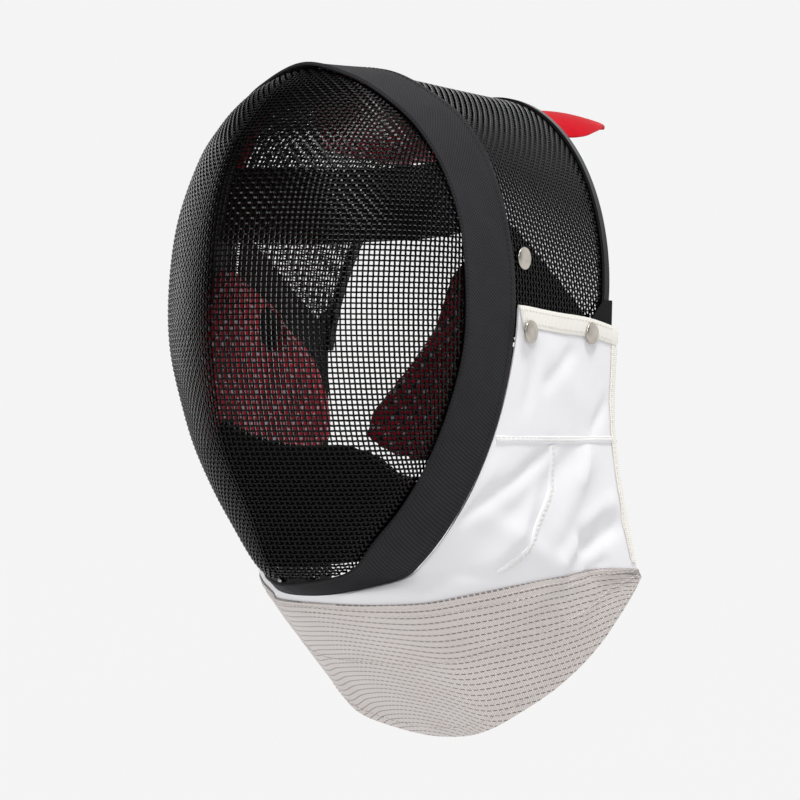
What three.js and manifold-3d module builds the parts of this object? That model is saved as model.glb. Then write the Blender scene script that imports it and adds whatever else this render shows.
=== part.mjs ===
import * as THREE from "three";
import { mergeVertices } from "three/addons/utils/BufferGeometryUtils.js";
import Module from "manifold-3d";

// Fencing mask with a conductive bib, in millimetres. It faces -Y, +Z is up and the wearer's left is +X.
// The tables below are worked out about the middle of the face opening, and the whole mask is then
// moved so that the origin lies where the crown of the head meets the crown pad.
const FACE_WIDTH = 208;
const FACE_HEIGHT = 300;
const FACE_DEPTH = 102;
const SEAT_BACK = 65;
const CLEARANCE = 0.3;
const LAP_CLEARANCE = 0.6;

const FACE_TOP_SHARE = 0.487;
const FACE_BOTTOM_SHARE = -0.5185;
const FACE_TOP = FACE_TOP_SHARE * FACE_HEIGHT;
const FACE_BOTTOM = FACE_BOTTOM_SHARE * FACE_HEIGHT;
const WIRE_CLOTH = 1.6;
const BAND_THICKNESS = 1.6;
const BAND_LAP = 2;
const BAND_LAP_FADE = 3;
const CROWN_WIDENING = 4.5;
const CROWN_HALF_WIDTH = FACE_WIDTH / 2 + CROWN_WIDENING;
const CROWN_HEIGHT = 150.5;
const CROWN_POWER = 1.85;
const CROWN_SKIRT = 16;
const CROWN_TUCK_SHARE = 0.5;
const CROWN_INSIDE = 0.7;
const RIM_TOP_BACK = 181;
const RIM_SIDE_BACK = 142;
const RIM_LEAF = 1.5;
const RIM_WIDTH = 6.8;

const TONGUE_LENGTH = 170;
const TONGUE_BEHIND_RIM = 138;
const TONGUE_TIP_BACK = RIM_TOP_BACK + TONGUE_BEHIND_RIM;
const TONGUE_WIDTH = 70;
const TONGUE_THICKNESS = 2.6;
const TONGUE_BELOW_CROWN = 4.4;
const TONGUE_LEVEL = CROWN_HEIGHT - TONGUE_BELOW_CROWN;
const TONGUE_RISE = 4;
const TONGUE_ARCH = 20;

const BIB_THICKNESS = 2.2;
const BIB_GAP = 1.5;
const BIB_STANDOFF = 2.6;
const FOLD_FADE = 40;
const FOLD_TOP_FADE = 0.35;
const FOLD_REAR_FADE = 0.06;
const BIB_CORNER_SHARE = 0.7;
const PANEL_THICKNESS = 1;
const TAPE_TOP_WIDTH = 11;
const TAPE_WIDTH = 6.2;
const TAPE_STANDOFF = 0.6;
const TAPE_THICKNESS = 0.8;
const TAPE_END_SHARE = 1.9;
const TAPE_START_SHARE = 1.1;

const CHEEK_THICKNESS = 15;
const CHEEK_EDGE = 5;
const CHEEK_STANDOFF = 1.4;
const EAR_BACK = 61;
const EAR_LEVEL = -3;
const EAR_LENGTH = 30;
const EAR_HEIGHT = 28;
const CHIN_THICKNESS = 7;
const CHIN_STANDOFF = 3.2;
const CHIN_BOTTOM_SHARE = -0.49;
const CHIN_SEAM_SHARE = 0.87;
const CHIN_WING = 22;
const BROW_HEIGHT = 13;
const BROW_THICKNESS = 9;
const BROW_TURNS = 3.4;
const BROW_STANDOFF = 3.2;
const BROW_AT_SHARE = 0.3;
const CROWN_PAD_WIDTH = 74;
const CROWN_PAD_LENGTH = 88;
const CROWN_PAD_FRONT = 26;
const CROWN_PAD_ARCH = 7;
const CROWN_PAD_SOFTNESS = 0.08;
const CROWN_PAD_DROP = 2.9;
const CROWN_PAD_DEPTH = 49;
const SEAT_HEIGHT = CROWN_HEIGHT - CROWN_PAD_DROP - CROWN_PAD_DEPTH;

const STRAP_HEIGHT = 46;
const STRAP_BOTTOM = 50;
const STRAP_THICKNESS = 2.4;
const STRAP_FRONT = 14;
const STRAP_BACK = 72;
const STRAP_STANDOFF = 4.6;
const STRAP_BOW_POWER = 2.2;
const GUSSET_THICKNESS = 1.5;
const GUSSET_FRONT_SHARE = 0.18;
const GUSSET_STANDOFF = 0.8;
const GUSSET_REAR_SHARE = 0.86;
const GUSSET_FOOT_SHARE = 0.99;
const GUSSET_TOP_FRONT_SHARE = 0.7;
const GUSSET_TOP_REAR_SHARE = 0.92;
const TAB_THICKNESS = 1.2;
const TAB_STANDOFF = 2.2;
const TAB_INSIDE = CROWN_HALF_WIDTH + TAB_STANDOFF;
const CAP_DIAMETER = 13.5;
const CAP_HEIGHT = 2.4;
const CAP_EDGE = 0.7;
const RIVET_ROUND_SHARE = 0.8;
const RIVET_ALONG_SHARE = 0.275;
const RIVET_STANDOFF = 0.6;
const SNAP_OVER_TAPE = 1.9;
const SNAP_FRONT_ROUND_SHARE = 0.708;
const SNAP_REAR_ROUND_SHARE = 0.903;
const SNAP_FRONT_DOWN_SHARE = 0.2;
const SNAP_REAR_DOWN_SHARE = 0.13;

// How fine the facets are.
const FACE_LEVELS = 20;
const FACE_COLUMNS = 20;
const CROWN_COLUMNS = 24;
const CROWN_ROWS = 6;
const BAND_STATIONS = 56;
const BIB_COLUMNS = 40;
const BIB_ROWS = 15;
const PANEL_ROWS = BIB_ROWS / 3;
const CAP_SIDES = 16;
const TAPE_TOP_COLUMNS = 6;
const TAPE_REAR_COLUMNS = 12;
const TONGUE_COLUMNS = 8;
const TONGUE_ROWS = 14;
const CHEEK_COLUMNS = 12;
const CHEEK_ROWS = 8;
const CHIN_COLUMNS = 16;
const CHIN_ROWS = 5;
const CROWN_PAD_CELLS = 8;
const STRAP_COLUMNS = 24;
const STRAP_ROWS = 2;
const GUSSET_COLUMNS = 8;
const GUSSET_ROWS = 4;
const BROW_STATIONS = 24;
const BROW_SIDES = 10;
const EAR_SIDES = 16;

// The face opening, from the brow (first row) to the chin (last row). x, y and z give the seam of the
// two meshes, outerX, outerY and outerZ the rear edge of the band over it. Widths are shares of
// FACE_WIDTH, depths shares of FACE_DEPTH behind the widest part, heights shares of FACE_HEIGHT.
const EDGE = [
  { x: 0, y: -0.186, z: 0.49, outerX: 0, outerY: 0.225, outerZ: 0.497 },
  { x: 0.164, y: -0.167, z: 0.457, outerX: 0.155, outerY: 0.235, outerZ: 0.484 },
  { x: 0.274, y: -0.123, z: 0.41, outerX: 0.29, outerY: 0.265, outerZ: 0.435 },
  { x: 0.357, y: -0.049, z: 0.35, outerX: 0.396, outerY: 0.304, outerZ: 0.373 },
  { x: 0.426, y: 0, z: 0.267, outerX: 0.466, outerY: 0.343, outerZ: 0.283 },
  { x: 0.4785, y: 0.005, z: 0.167, outerX: 0.504, outerY: 0.382, outerZ: 0.177 },
  { x: 0.5, y: 0, z: 0.05, outerX: 0.519, outerY: 0.412, outerZ: 0.053 },
  { x: 0.493, y: 0, z: -0.067, outerX: 0.512, outerY: 0.402, outerZ: -0.067 },
  { x: 0.443, y: 0, z: -0.183, outerX: 0.488, outerY: 0.343, outerZ: -0.2 },
  { x: 0.381, y: -0.02, z: -0.283, outerX: 0.45, outerY: 0.235, outerZ: -0.317 },
  { x: 0.314, y: -0.069, z: -0.367, outerX: 0.39, outerY: 0.16, outerZ: -0.407 },
  { x: 0.238, y: -0.118, z: -0.433, outerX: 0.292, outerY: 0.165, outerZ: -0.48 },
  { x: 0.16, y: -0.15, z: -0.495, outerX: 0.222, outerY: 0.13, outerZ: -0.517 },
  { x: 0.088, y: -0.275, z: -0.514, outerX: 0.12, outerY: -0.12, outerZ: -0.54 },
  { x: 0, y: -0.37, z: -0.52, outerX: 0, outerY: -0.216, outerZ: -0.545 },
];

// The crease down the middle of the face: its forward reach (share of FACE_DEPTH) at each height.
const CREASE = [
  { z: 0.49, reach: 0.186 },
  { z: 0.437, reach: 0.431 },
  { z: 0.377, reach: 0.633 },
  { z: 0.319, reach: 0.788 },
  { z: 0.21, reach: 0.925 },
  { z: 0.053, reach: 0.992 },
  { z: -0.06, reach: 0.992 },
  { z: -0.183, reach: 0.938 },
  { z: -0.273, reach: 0.86 },
  { z: -0.4, reach: 0.633 },
  { z: -0.487, reach: 0.497 },
  { z: -0.52, reach: 0.38 },
];
// How a level section of the face rounds from the crease to the seam.
const CREASE_POWER = 1.35;
const SIDE_POWER = 0.58;

// The bib, from the middle of the front (first row) to its rear edge (last row). mid, line and hem
// give a point about halfway down the cloth, the top of the conductive panel and the lower edge:
// widths as shares of FACE_WIDTH, depths of FACE_DEPTH, heights of FACE_HEIGHT.
const BIB = [
  { at: 0, midX: 0, midY: -0.19, midZ: -0.551,
    lineX: 0, lineY: -0.13, lineZ: -0.566, hemX: 0, hemY: 1.088, hemZ: -0.882 },
  { at: 0.12, midX: 0.155, midY: -0.07, midZ: -0.545,
    lineX: 0.155, lineY: -0.03, lineZ: -0.568, hemX: 0.13, hemY: 1.07, hemZ: -0.873 },
  { at: 0.24, midX: 0.285, midY: 0.2, midZ: -0.53,
    lineX: 0.275, lineY: 0.2, lineZ: -0.566, hemX: 0.245, hemY: 1, hemZ: -0.848 },
  { at: 0.36, midX: 0.39, midY: 0.28, midZ: -0.48,
    lineX: 0.38, lineY: 0.35, lineZ: -0.55, hemX: 0.337, hemY: 1.03, hemZ: -0.81 },
  { at: 0.46, midX: 0.46, midY: 0.37, midZ: -0.413,
    lineX: 0.452, lineY: 0.5, lineZ: -0.537, hemX: 0.423, hemY: 1.127, hemZ: -0.763 },
  { at: 0.55, midX: 0.508, midY: 0.47, midZ: -0.347,
    lineX: 0.5, lineY: 0.67, lineZ: -0.527, hemX: 0.486, hemY: 1.235, hemZ: -0.713 },
  { at: 0.64, midX: 0.53, midY: 0.57, midZ: -0.273,
    lineX: 0.526, lineY: 0.86, lineZ: -0.52, hemX: 0.529, hemY: 1.343, hemZ: -0.663 },
  { at: 0.7, midX: 0.54, midY: 0.66, midZ: -0.24,
    lineX: 0.534, lineY: 0.98, lineZ: -0.517, hemX: 0.548, hemY: 1.41, hemZ: -0.63 },
  { at: 0.8, midX: 0.546, midY: 0.91, midZ: -0.24,
    lineX: 0.548, lineY: 1.17, lineZ: -0.513, hemX: 0.572, hemY: 1.49, hemZ: -0.587 },
  { at: 0.9, midX: 0.55, midY: 1.18, midZ: -0.24,
    lineX: 0.572, lineY: 1.36, lineZ: -0.513, hemX: 0.589, hemY: 1.53, hemZ: -0.557 },
  { at: 1, midX: 0.553, midY: 1.41, midZ: -0.24,
    lineX: 0.6, lineY: 1.52, lineZ: -0.517, hemX: 0.601, hemY: 1.554, hemZ: -0.533 },
];
// The free upper edge of the bib, from the band to the rear edge, in the same shares.
const BIB_TOP = [
  { at: 0.7, x: 0.54, y: 0.425, z: 0.018 },
  { at: 0.8, x: 0.549, y: 0.745, z: 0.008 },
  { at: 0.9, x: 0.556, y: 1.098, z: 0 },
  { at: 1, x: 0.558, y: 1.42, z: -0.017 },
];

// The main folds of the bib as ridges and valleys between two points of the side view: depths as
// shares of FACE_DEPTH, heights of FACE_HEIGHT, width and rise in millimetres.
const FOLDS = [
  { y1: 0.98, z1: -0.27, y2: 0.36, z2: -0.42, width: 8, rise: -2.6 },
  { y1: 1.15, z1: -0.27, y2: 0.75, z2: -0.46, width: 10, rise: 3.2 },
  { y1: 0.3, z1: -0.39, y2: 0.95, z2: -0.53, width: 7, rise: 2.4 },
  { y1: 1.02, z1: -0.48, y2: 1.32, z2: -0.4, width: 7, rise: -2.8 },
  { y1: 0.55, z1: -0.02, y2: 1.1, z2: -0.2, width: 12, rise: 1.4 },
];

// A cheek pad from front to rear: its depth (share of FACE_DEPTH) and its upper and lower edges
// (shares of FACE_HEIGHT).
const CHEEK = [
  { y: -0.43, top: -0.19, bottom: -0.236 },
  { y: -0.36, top: -0.145, bottom: -0.262 },
  { y: -0.22, top: -0.06, bottom: -0.28 },
  { y: -0.1, top: 0.005, bottom: -0.29 },
  { y: 0.02, top: 0.1, bottom: -0.295 },
  { y: 0.24, top: 0.119, bottom: -0.3 },
  { y: 0.45, top: 0.088, bottom: -0.302 },
  { y: 0.72, top: 0.04, bottom: -0.304 },
  { y: 0.86, top: -0.008, bottom: -0.3 },
  { y: 1, top: -0.034, bottom: -0.29 },
  { y: 1.13, top: -0.082, bottom: -0.275 },
  { y: 1.27, top: -0.2, bottom: -0.26 },
];

// The upper edge of the chin lining from the crease (0) to its sides (1), as a share of FACE_HEIGHT.
const CHIN = [
  { across: 0, top: -0.195 },
  { across: 0.2, top: -0.233 },
  { across: 0.4, top: -0.25 },
  { across: 0.52, top: -0.245 },
  { across: 0.61, top: -0.26 },
  { across: 0.69, top: -0.29 },
  { across: 0.8, top: -0.308 },
  { across: 1, top: -0.315 },
];

// The tongue from its root to its tip: half its width and its rise, as shares of the named sizes.
const TONGUE = [
  { at: 0, half: 0.36, rise: -0.1 },
  { at: 0.15, half: 0.42, rise: 0 },
  { at: 0.376, half: 0.5, rise: 0.5 },
  { at: 0.535, half: 0.49, rise: 1.1 },
  { at: 0.653, half: 0.43, rise: 1.3 },
  { at: 0.76, half: 0.345, rise: 1.2 },
  { at: 0.853, half: 0.22, rise: 1 },
  { at: 0.9, half: 0.155, rise: 0.85 },
  { at: 0.96, half: 0.08, rise: 0.7 },
  { at: 1, half: 0.03, rise: 0.6 },
];

// The tab of black cloth over the lower end of the rim, as seen from the side, in the same shares.
const TAB = [
  { y: 1.2, z: -0.027 },
  { y: 1.43, z: -0.03 },
  { y: 1.44, z: 0.04 },
  { y: 1.35, z: 0.04 },
  { y: 1.2, z: -0.003 },
];

const LOOKS = {
  wire: { color: 0x1b1b1d, roughness: 0.45, metalness: 0.6 },
  webbing: { color: 0x2b2b2d, roughness: 0.85, metalness: 0 },
  paint: { color: 0x1a1a1c, roughness: 0.35, metalness: 0.2 },
  tongue: { color: 0xd8062e, roughness: 0.2, metalness: 0 },
  print: { color: 0x9a2236, roughness: 0.9, metalness: 0 },
  black: { color: 0x17171a, roughness: 0.9, metalness: 0 },
  nickel: { color: 0xbfb9b0, roughness: 0.3, metalness: 1 },
  white: { color: 0xf0f0f0, roughness: 0.8, metalness: 0 },
  cream: { color: 0xe8e2d4, roughness: 0.8, metalness: 0 },
  knit: { color: 0xc2bab5, roughness: 0.55, metalness: 0.4 },
};

const V = (x, y, z) => new THREE.Vector3(x, y, z);
const mix = (a, b, t) => a + (b - a) * t;
const clamp01 = (t) => Math.min(1, Math.max(0, t));
const smooth = (t) => clamp01(t) ** 2 * (3 - 2 * clamp01(t));

// A column of a table at a position that may lie between two of its rows, as a smooth curve. key
// names the column of positions, or is null where the rows are evenly spaced. Past its first and its
// last row the curve goes straight on (0), or as its mirror image of the same (1) or opposite sign (-1).
function column(rows, name, at, key = null, first = 0, end = 0) {
  const last = rows.length - 1;
  const place = (i) => (key ? rows[i][key] : i);
  const rising = place(last) > place(0);
  let i = 0;
  while (i < last - 1 && (rising ? at > place(i + 1) : at < place(i + 1))) i++;
  const value = (n) => {
    if (n < 0) return first ? first * rows[1][name] : 2 * rows[0][name] - rows[1][name];
    if (n > last) return end ? end * rows[last - 1][name] : 2 * rows[last][name] - rows[last - 1][name];
    return rows[n][name];
  };
  const spot = (n) => {
    if (n < 0) return 2 * place(0) - place(1);
    if (n > last) return 2 * place(last) - place(last - 1);
    return place(n);
  };
  const slope = (n) => (value(n + 1) - value(n - 1)) / (spot(n + 1) - spot(n - 1));
  const span = spot(i + 1) - spot(i);
  const t = clamp01((at - spot(i)) / span);
  return (
    mix(value(i), value(i + 1), smooth(t)) +
    span * (slope(i) * (t * t * t - 2 * t * t + t) + slope(i + 1) * (t * t * t - t * t))
  );
}

// The seam of the meshes and the rear edge of the band at a turn from 0 (brow) to the last row (chin).
const LAST_TURN = EDGE.length - 1;
const seam = (turn) =>
  V(
    column(EDGE, "x", turn, null, -1, -1) * FACE_WIDTH,
    column(EDGE, "y", turn, null, 1, 1) * FACE_DEPTH,
    column(EDGE, "z", turn, null, 1, 1) * FACE_HEIGHT,
  );
const outer = (turn) =>
  V(
    column(EDGE, "outerX", turn, null, -1, -1) * FACE_WIDTH,
    column(EDGE, "outerY", turn, null, 1, 1) * FACE_DEPTH,
    column(EDGE, "outerZ", turn, null, 1, 1) * FACE_HEIGHT,
  );
// The turn at which a curve that falls from brow to chin reaches a height.
function turnAt(curve, z) {
  let low = 0;
  let high = LAST_TURN;
  for (let n = 0; n < 40; n++) {
    const half = (low + high) / 2;
    if (curve(half).z > z) low = half;
    else high = half;
  }
  return low;
}
const mirrored = (point, side) => V(point.x * side, point.y, point.z);

// The surface that the band lies on: turn runs from -LAST_TURN to LAST_TURN, width from 0 at the seam
// to 1 at the rear edge.
function strip(turn, width) {
  const side = turn < 0 ? -1 : 1;
  return mirrored(seam(Math.abs(turn)).lerp(outer(Math.abs(turn)), width), side);
}
function stripNormal(turn) {
  const step = 0.05;
  const run = strip(turn + step, 0.5).sub(strip(turn - step, 0.5));
  const back = strip(turn, 1).sub(strip(turn, 0));
  return run.cross(back).normalize();
}

// A point of the face: bow runs from 0 at the crease to a quarter turn at the seam, and inset moves
// the point towards the head.
const creaseReach = (z) => -column(CREASE, "reach", z / FACE_HEIGHT, "z") * FACE_DEPTH;
function face(bow, z, inset = 0) {
  const side = bow < 0 ? -1 : 1;
  const edge = seam(turnAt(seam, z));
  const x = Math.sin(Math.abs(bow)) ** (2 / CREASE_POWER);
  const forward = Math.cos(bow) ** (2 * SIDE_POWER);
  return V(
    side * x * (edge.x - inset),
    mix(edge.y, creaseReach(z) + inset, forward),
    z,
  );
}

// Half the clear width of the mask at a depth and height, as the cheek pads meet it.
function wall(y, z) {
  const edge = seam(turnAt(seam, z));
  const rear = outer(turnAt(outer, z));
  if (y < edge.y) {
    const forward = clamp01((edge.y - y) / (edge.y - creaseReach(z)));
    return edge.x * (1 - forward ** (1 / SIDE_POWER)) ** (1 / CREASE_POWER);
  }
  if (y < rear.y) return mix(edge.x, rear.x, (y - edge.y) / (rear.y - edge.y));
  return mix(rear.x, CROWN_HALF_WIDTH, clamp01((y - rear.y) / (RIM_SIDE_BACK - rear.y)));
}

// The rear edge of the crown mesh, from the top (0) to the end of its skirt (1), evenly spaced.
const ARCH = [];
for (let n = 0; n <= 180; n++) {
  const angle = (n / 180) * (Math.PI / 2);
  const x = CROWN_HALF_WIDTH * Math.sin(angle) ** (2 / CROWN_POWER);
  const z = CROWN_HEIGHT * Math.cos(angle) ** (2 / CROWN_POWER);
  ARCH.push(V(x, mix(RIM_SIDE_BACK, RIM_TOP_BACK, z / CROWN_HEIGHT), z));
}
ARCH.push(
  V(
    CROWN_HALF_WIDTH,
    mix(RIM_SIDE_BACK, RIM_TOP_BACK, -CROWN_SKIRT / CROWN_HEIGHT),
    -CROWN_SKIRT,
  ),
);
const archLengths = [0];
for (let n = 1; n < ARCH.length; n++)
  archLengths.push(archLengths[n - 1] + ARCH[n].distanceTo(ARCH[n - 1]));
function arch(share) {
  const want = share * archLengths[ARCH.length - 1];
  let n = 1;
  while (n < ARCH.length - 1 && archLengths[n] < want) n++;
  const t = (want - archLengths[n - 1]) / (archLengths[n] - archLengths[n - 1]);
  return ARCH[n - 1].clone().lerp(ARCH[n], t);
}

// The crown mesh: round runs from -1 to 1 over the head, back from 0 (under the band) to 1 (rear edge).
const CROWN_TURN = turnAt(outer, -CROWN_SKIRT);
const CROWN_BAND_SHARE = 1 / CROWN_ROWS;
function crown(round, back) {
  const side = round < 0 ? -1 : 1;
  const turn = Math.abs(round) * CROWN_TURN;
  const inward = stripNormal(turn).multiplyScalar(-CROWN_INSIDE);
  const front = strip(turn, CROWN_TUCK_SHARE).add(inward);
  const edge = strip(turn, 1).add(inward);
  const rear = arch(Math.abs(round));
  const point =
    back < CROWN_BAND_SHARE
      ? front.lerp(edge, back / CROWN_BAND_SHARE)
      : edge.lerp(rear, (back - CROWN_BAND_SHARE) / (1 - CROWN_BAND_SHARE));
  return mirrored(point, side);
}

// The height of the crown mesh over a point of the plan, between the band's edge and the rear edge.
function crownHeight(x, y) {
  let low = 0;
  let high = 1;
  const along = (round) => {
    const start = crown(round, CROWN_BAND_SHARE);
    const share = (y - start.y) / (crown(round, 1).y - start.y);
    return start.lerp(crown(round, 1), share);
  };
  for (let n = 0; n < 40; n++) {
    const half = (low + high) / 2;
    if (along(half).x < x) low = half;
    else high = half;
  }
  return along(low).z;
}

// A smooth curve through four points, reached at 0, 1, 2 and 3, that never loops where two lie close.
function through(points, t) {
  const first = points[0].clone().multiplyScalar(2).sub(points[1]);
  const end = points[3].clone().multiplyScalar(2).sub(points[2]);
  const all = [first, ...points, end];
  const i = Math.min(2, Math.floor(t));
  const p = all.slice(i, i + 4);
  const k = [0];
  for (let n = 1; n < 4; n++) k.push(k[n - 1] + Math.sqrt(p[n].distanceTo(p[n - 1]) + 1e-6));
  const at = mix(k[1], k[2], t - i);
  const blend = (a, b, from, to) =>
    a.clone().multiplyScalar((to - at) / (to - from)).addScaledVector(b, (at - from) / (to - from));
  const a = blend(p[0], p[1], k[0], k[1]);
  const b = blend(p[1], p[2], k[1], k[2]);
  const c = blend(p[2], p[3], k[2], k[3]);
  return blend(blend(a, b, k[0], k[2]), blend(b, c, k[1], k[3]), k[1], k[2]);
}

// The bib before folds: round runs from -1 to 1 (rear edge to rear edge), down from 0 (top) to 3 (hem).
function bibTop(round) {
  if (round > BIB_CORNER_SHARE)
    return V(
      column(BIB_TOP, "x", round, "at") * FACE_WIDTH,
      column(BIB_TOP, "y", round, "at") * FACE_DEPTH,
      column(BIB_TOP, "z", round, "at") * FACE_HEIGHT,
    );
  const turn = mix(LAST_TURN, turnAt(outer, BIB_TOP[0].z * FACE_HEIGHT), round / BIB_CORNER_SHARE);
  const edge = outer(turn);
  const away = edge.clone().sub(seam(turn)).normalize().multiplyScalar(BIB_GAP);
  const out = V(BIB_STANDOFF * smooth((round - 0.5) / (BIB_CORNER_SHARE - 0.5)), 0, 0);
  return edge.add(away).add(out);
}
function bibPlain(round, down) {
  const side = round < 0 ? -1 : 1;
  const at = Math.abs(round);
  const row = (name) =>
    V(
      column(BIB, name + "X", at, "at", -1) * FACE_WIDTH,
      column(BIB, name + "Y", at, "at", 1) * FACE_DEPTH,
      column(BIB, name + "Z", at, "at", 1) * FACE_HEIGHT,
    );
  return mirrored(through([bibTop(at), row("mid"), row("line"), row("hem")], down), side);
}
// The height of the folds over a point of the side view.
function folds(point) {
  let rise = 0;
  for (const fold of FOLDS) {
    const ay = fold.y1 * FACE_DEPTH;
    const az = fold.z1 * FACE_HEIGHT;
    const by = fold.y2 * FACE_DEPTH;
    const bz = fold.z2 * FACE_HEIGHT;
    const length = Math.hypot(by - ay, bz - az);
    const t = ((point.y - ay) * (by - ay) + (point.z - az) * (bz - az)) / length ** 2;
    const off = ((point.y - ay) * (bz - az) - (point.z - az) * (by - ay)) / length;
    const ends = smooth((t + 0.2) / 0.4) * smooth((1.2 - t) / 0.4);
    rise += fold.rise * ends * Math.exp(-((off / fold.width) ** 2));
  }
  return rise;
}
function bib(round, down) {
  const point = bibPlain(round, down);
  const side = round < 0 ? -1 : 1;
  const edge = smooth(down / FOLD_TOP_FADE) * smooth((1 - Math.abs(round)) / FOLD_REAR_FADE);
  const rise = folds(point) * edge * smooth((Math.abs(point.x) - FOLD_FADE) / FOLD_FADE);
  return point.add(V(side * rise, 0, 0));
}

// A closed body between two grids of points of the same size, joined along their borders. wrap joins
// the last column to the first.
function between(front, back, wrap = false) {
  const count = front.length;
  const rows = front[0].length - 1;
  const columns = wrap ? count : count - 1;
  const points = [...front.flat(), ...back.flat()];
  const id = (layer, i, j) => (layer * count + (i % count)) * (rows + 1) + j;
  const faces = [];
  const quad = (a, b, c, d) => faces.push(a, b, c, a, c, d);
  for (let i = 0; i < columns; i++) {
    for (let j = 0; j < rows; j++) {
      quad(id(0, i, j), id(0, i, j + 1), id(0, i + 1, j + 1), id(0, i + 1, j));
      quad(id(1, i, j), id(1, i + 1, j), id(1, i + 1, j + 1), id(1, i, j + 1));
    }
    quad(id(0, i, 0), id(0, i + 1, 0), id(1, i + 1, 0), id(1, i, 0));
    quad(id(0, i + 1, rows), id(0, i, rows), id(1, i, rows), id(1, i + 1, rows));
  }
  if (!wrap)
    for (let j = 0; j < rows; j++) {
      quad(id(0, 0, j + 1), id(0, 0, j), id(1, 0, j), id(1, 0, j + 1));
      quad(id(0, columns, j), id(0, columns, j + 1), id(1, columns, j + 1), id(1, columns, j));
    }
  return closed(points, faces);
}
function gridOf(surface, columns, rows, wrap = false) {
  const grid = [];
  for (let i = 0; i < (wrap ? columns : columns + 1); i++)
    grid.push(Array.from({ length: rows + 1 }, (_, j) => surface(i / columns, j / rows)));
  return grid;
}
// A sheet over a surface. near and far are the distances of its two faces from the surface, along the
// normal; each may be a function of the place on the grid.
function slab(surface, columns, rows, near, far, wrap = false) {
  const grid = gridOf(surface, columns, rows, wrap);
  const count = grid.length;
  const face = (distance) =>
    grid.map((line, i) =>
      line.map((point, j) => {
        const before = wrap ? (i + count - 1) % count : Math.max(0, i - 1);
        const after = wrap ? (i + 1) % count : Math.min(columns, i + 1);
        const across = grid[after][j].clone().sub(grid[before][j]);
        const along = line[Math.min(rows, j + 1)].clone().sub(line[Math.max(0, j - 1)]);
        const away = typeof distance === "function" ? distance(i / columns, j / rows) : distance;
        return point.clone().addScaledVector(across.cross(along).normalize(), away);
      }),
    );
  return between(face(near), face(far), wrap);
}

// A closed body from points and faces, turned so that its faces look outwards.
function closed(points, faces) {
  let volume = 0;
  for (let n = 0; n < faces.length; n += 3)
    volume += points[faces[n]].dot(points[faces[n + 1]].clone().cross(points[faces[n + 2]]));
  const index = volume < 0 ? faces.slice().reverse() : faces;
  const geometry = new THREE.BufferGeometry();
  geometry.setAttribute(
    "position",
    new THREE.Float32BufferAttribute(points.flatMap((p) => [p.x, p.y, p.z]), 3),
  );
  geometry.setIndex(index);
  geometry.computeVertexNormals();
  return geometry;
}

// A closed profile of [out, back] pairs carried along stations of { origin, out, back }.
function swept(stations, profile) {
  const points = stations.flatMap((s) =>
    profile.map(([out, back]) =>
      s.origin.clone().addScaledVector(s.out, out).addScaledVector(s.back, back),
    ),
  );
  const size = profile.length;
  const faces = [];
  for (let i = 0; i + 1 < stations.length; i++)
    for (let j = 0; j < size; j++) {
      const a = i * size + j;
      const b = i * size + ((j + 1) % size);
      faces.push(a, b, b + size, a, b + size, a + size);
    }
  const end = (stations.length - 1) * size;
  const shape = profile.map(([out, back]) => new THREE.Vector2(out, back));
  const turned = THREE.ShapeUtils.isClockWise(shape);
  for (const [a, b, c] of THREE.ShapeUtils.triangulateShape(shape, [])) {
    const [p, q, r] = turned ? [a, c, b] : [a, b, c];
    if (turned) faces.push(p, q, r, end + r, end + q, end + p);
    else faces.push(r, q, p, end + p, end + q, end + r);
  }
  return closed(points, faces);
}

const wasm = await Module();
wasm.setup();
function solid(geometry) {
  return new wasm.Manifold(
    new wasm.Mesh({
      numProp: 3,
      vertProperties: new Float32Array(geometry.attributes.position.array),
      triVerts: new Uint32Array(geometry.index.array),
    }),
  );
}
function geometryOf(body) {
  const got = body.getMesh();
  const geometry = new THREE.BufferGeometry();
  geometry.setAttribute("position", new THREE.BufferAttribute(got.vertProperties, 3));
  geometry.setIndex(new THREE.BufferAttribute(got.triVerts, 1));
  geometry.computeVertexNormals();
  return geometry;
}

const mask = new THREE.Group();
mask.position.set(0, -SEAT_BACK, -SEAT_HEIGHT);
function add(name, geometry, look) {
  const mesh = new THREE.Mesh(geometry, new THREE.MeshStandardMaterial(LOOKS[look]));
  mesh.name = name;
  mask.add(mesh);
  return mesh;
}

// Face mesh: level sections, closer together near the brow and the chin.
const QUARTER = Math.PI / 2;
const faceLevel = (share) => mix(FACE_BOTTOM, FACE_TOP, (1 - Math.cos(share * Math.PI)) / 2);
add(
  "front_mesh",
  slab(
    (u, v) => face((2 * u - 1) * QUARTER, faceLevel(v)),
    FACE_COLUMNS,
    FACE_LEVELS,
    0,
    -WIRE_CLOTH,
  ),
  "wire",
);

// Crown mesh and the trim over its rear edge, on the same stations.
add(
  "crown_mesh",
  slab((u, v) => crown(2 * u - 1, v), CROWN_COLUMNS, CROWN_ROWS, 0, -WIRE_CLOTH),
  "wire",
);
const rimStations = [];
for (let n = 0; n <= CROWN_COLUMNS; n++) {
  const round = (2 * n) / CROWN_COLUMNS - 1;
  const step = 2 / CROWN_COLUMNS;
  const origin = crown(round, 1);
  const back = origin.clone().sub(crown(round, 0.9)).normalize();
  const run = crown(Math.min(1, round + step), 1).sub(crown(Math.max(-1, round - step), 1));
  const out = run.cross(back).normalize();
  rimStations.push({ origin, out: out.z < 0 && Math.abs(round) < 0.9 ? out.negate() : out, back });
}
const RIM_FRONT = -(RIM_WIDTH - RIM_LEAF - CLEARANCE);
const RIM_END = CLEARANCE + RIM_LEAF;
const RIM_INSIDE = -WIRE_CLOTH - CLEARANCE;
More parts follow.
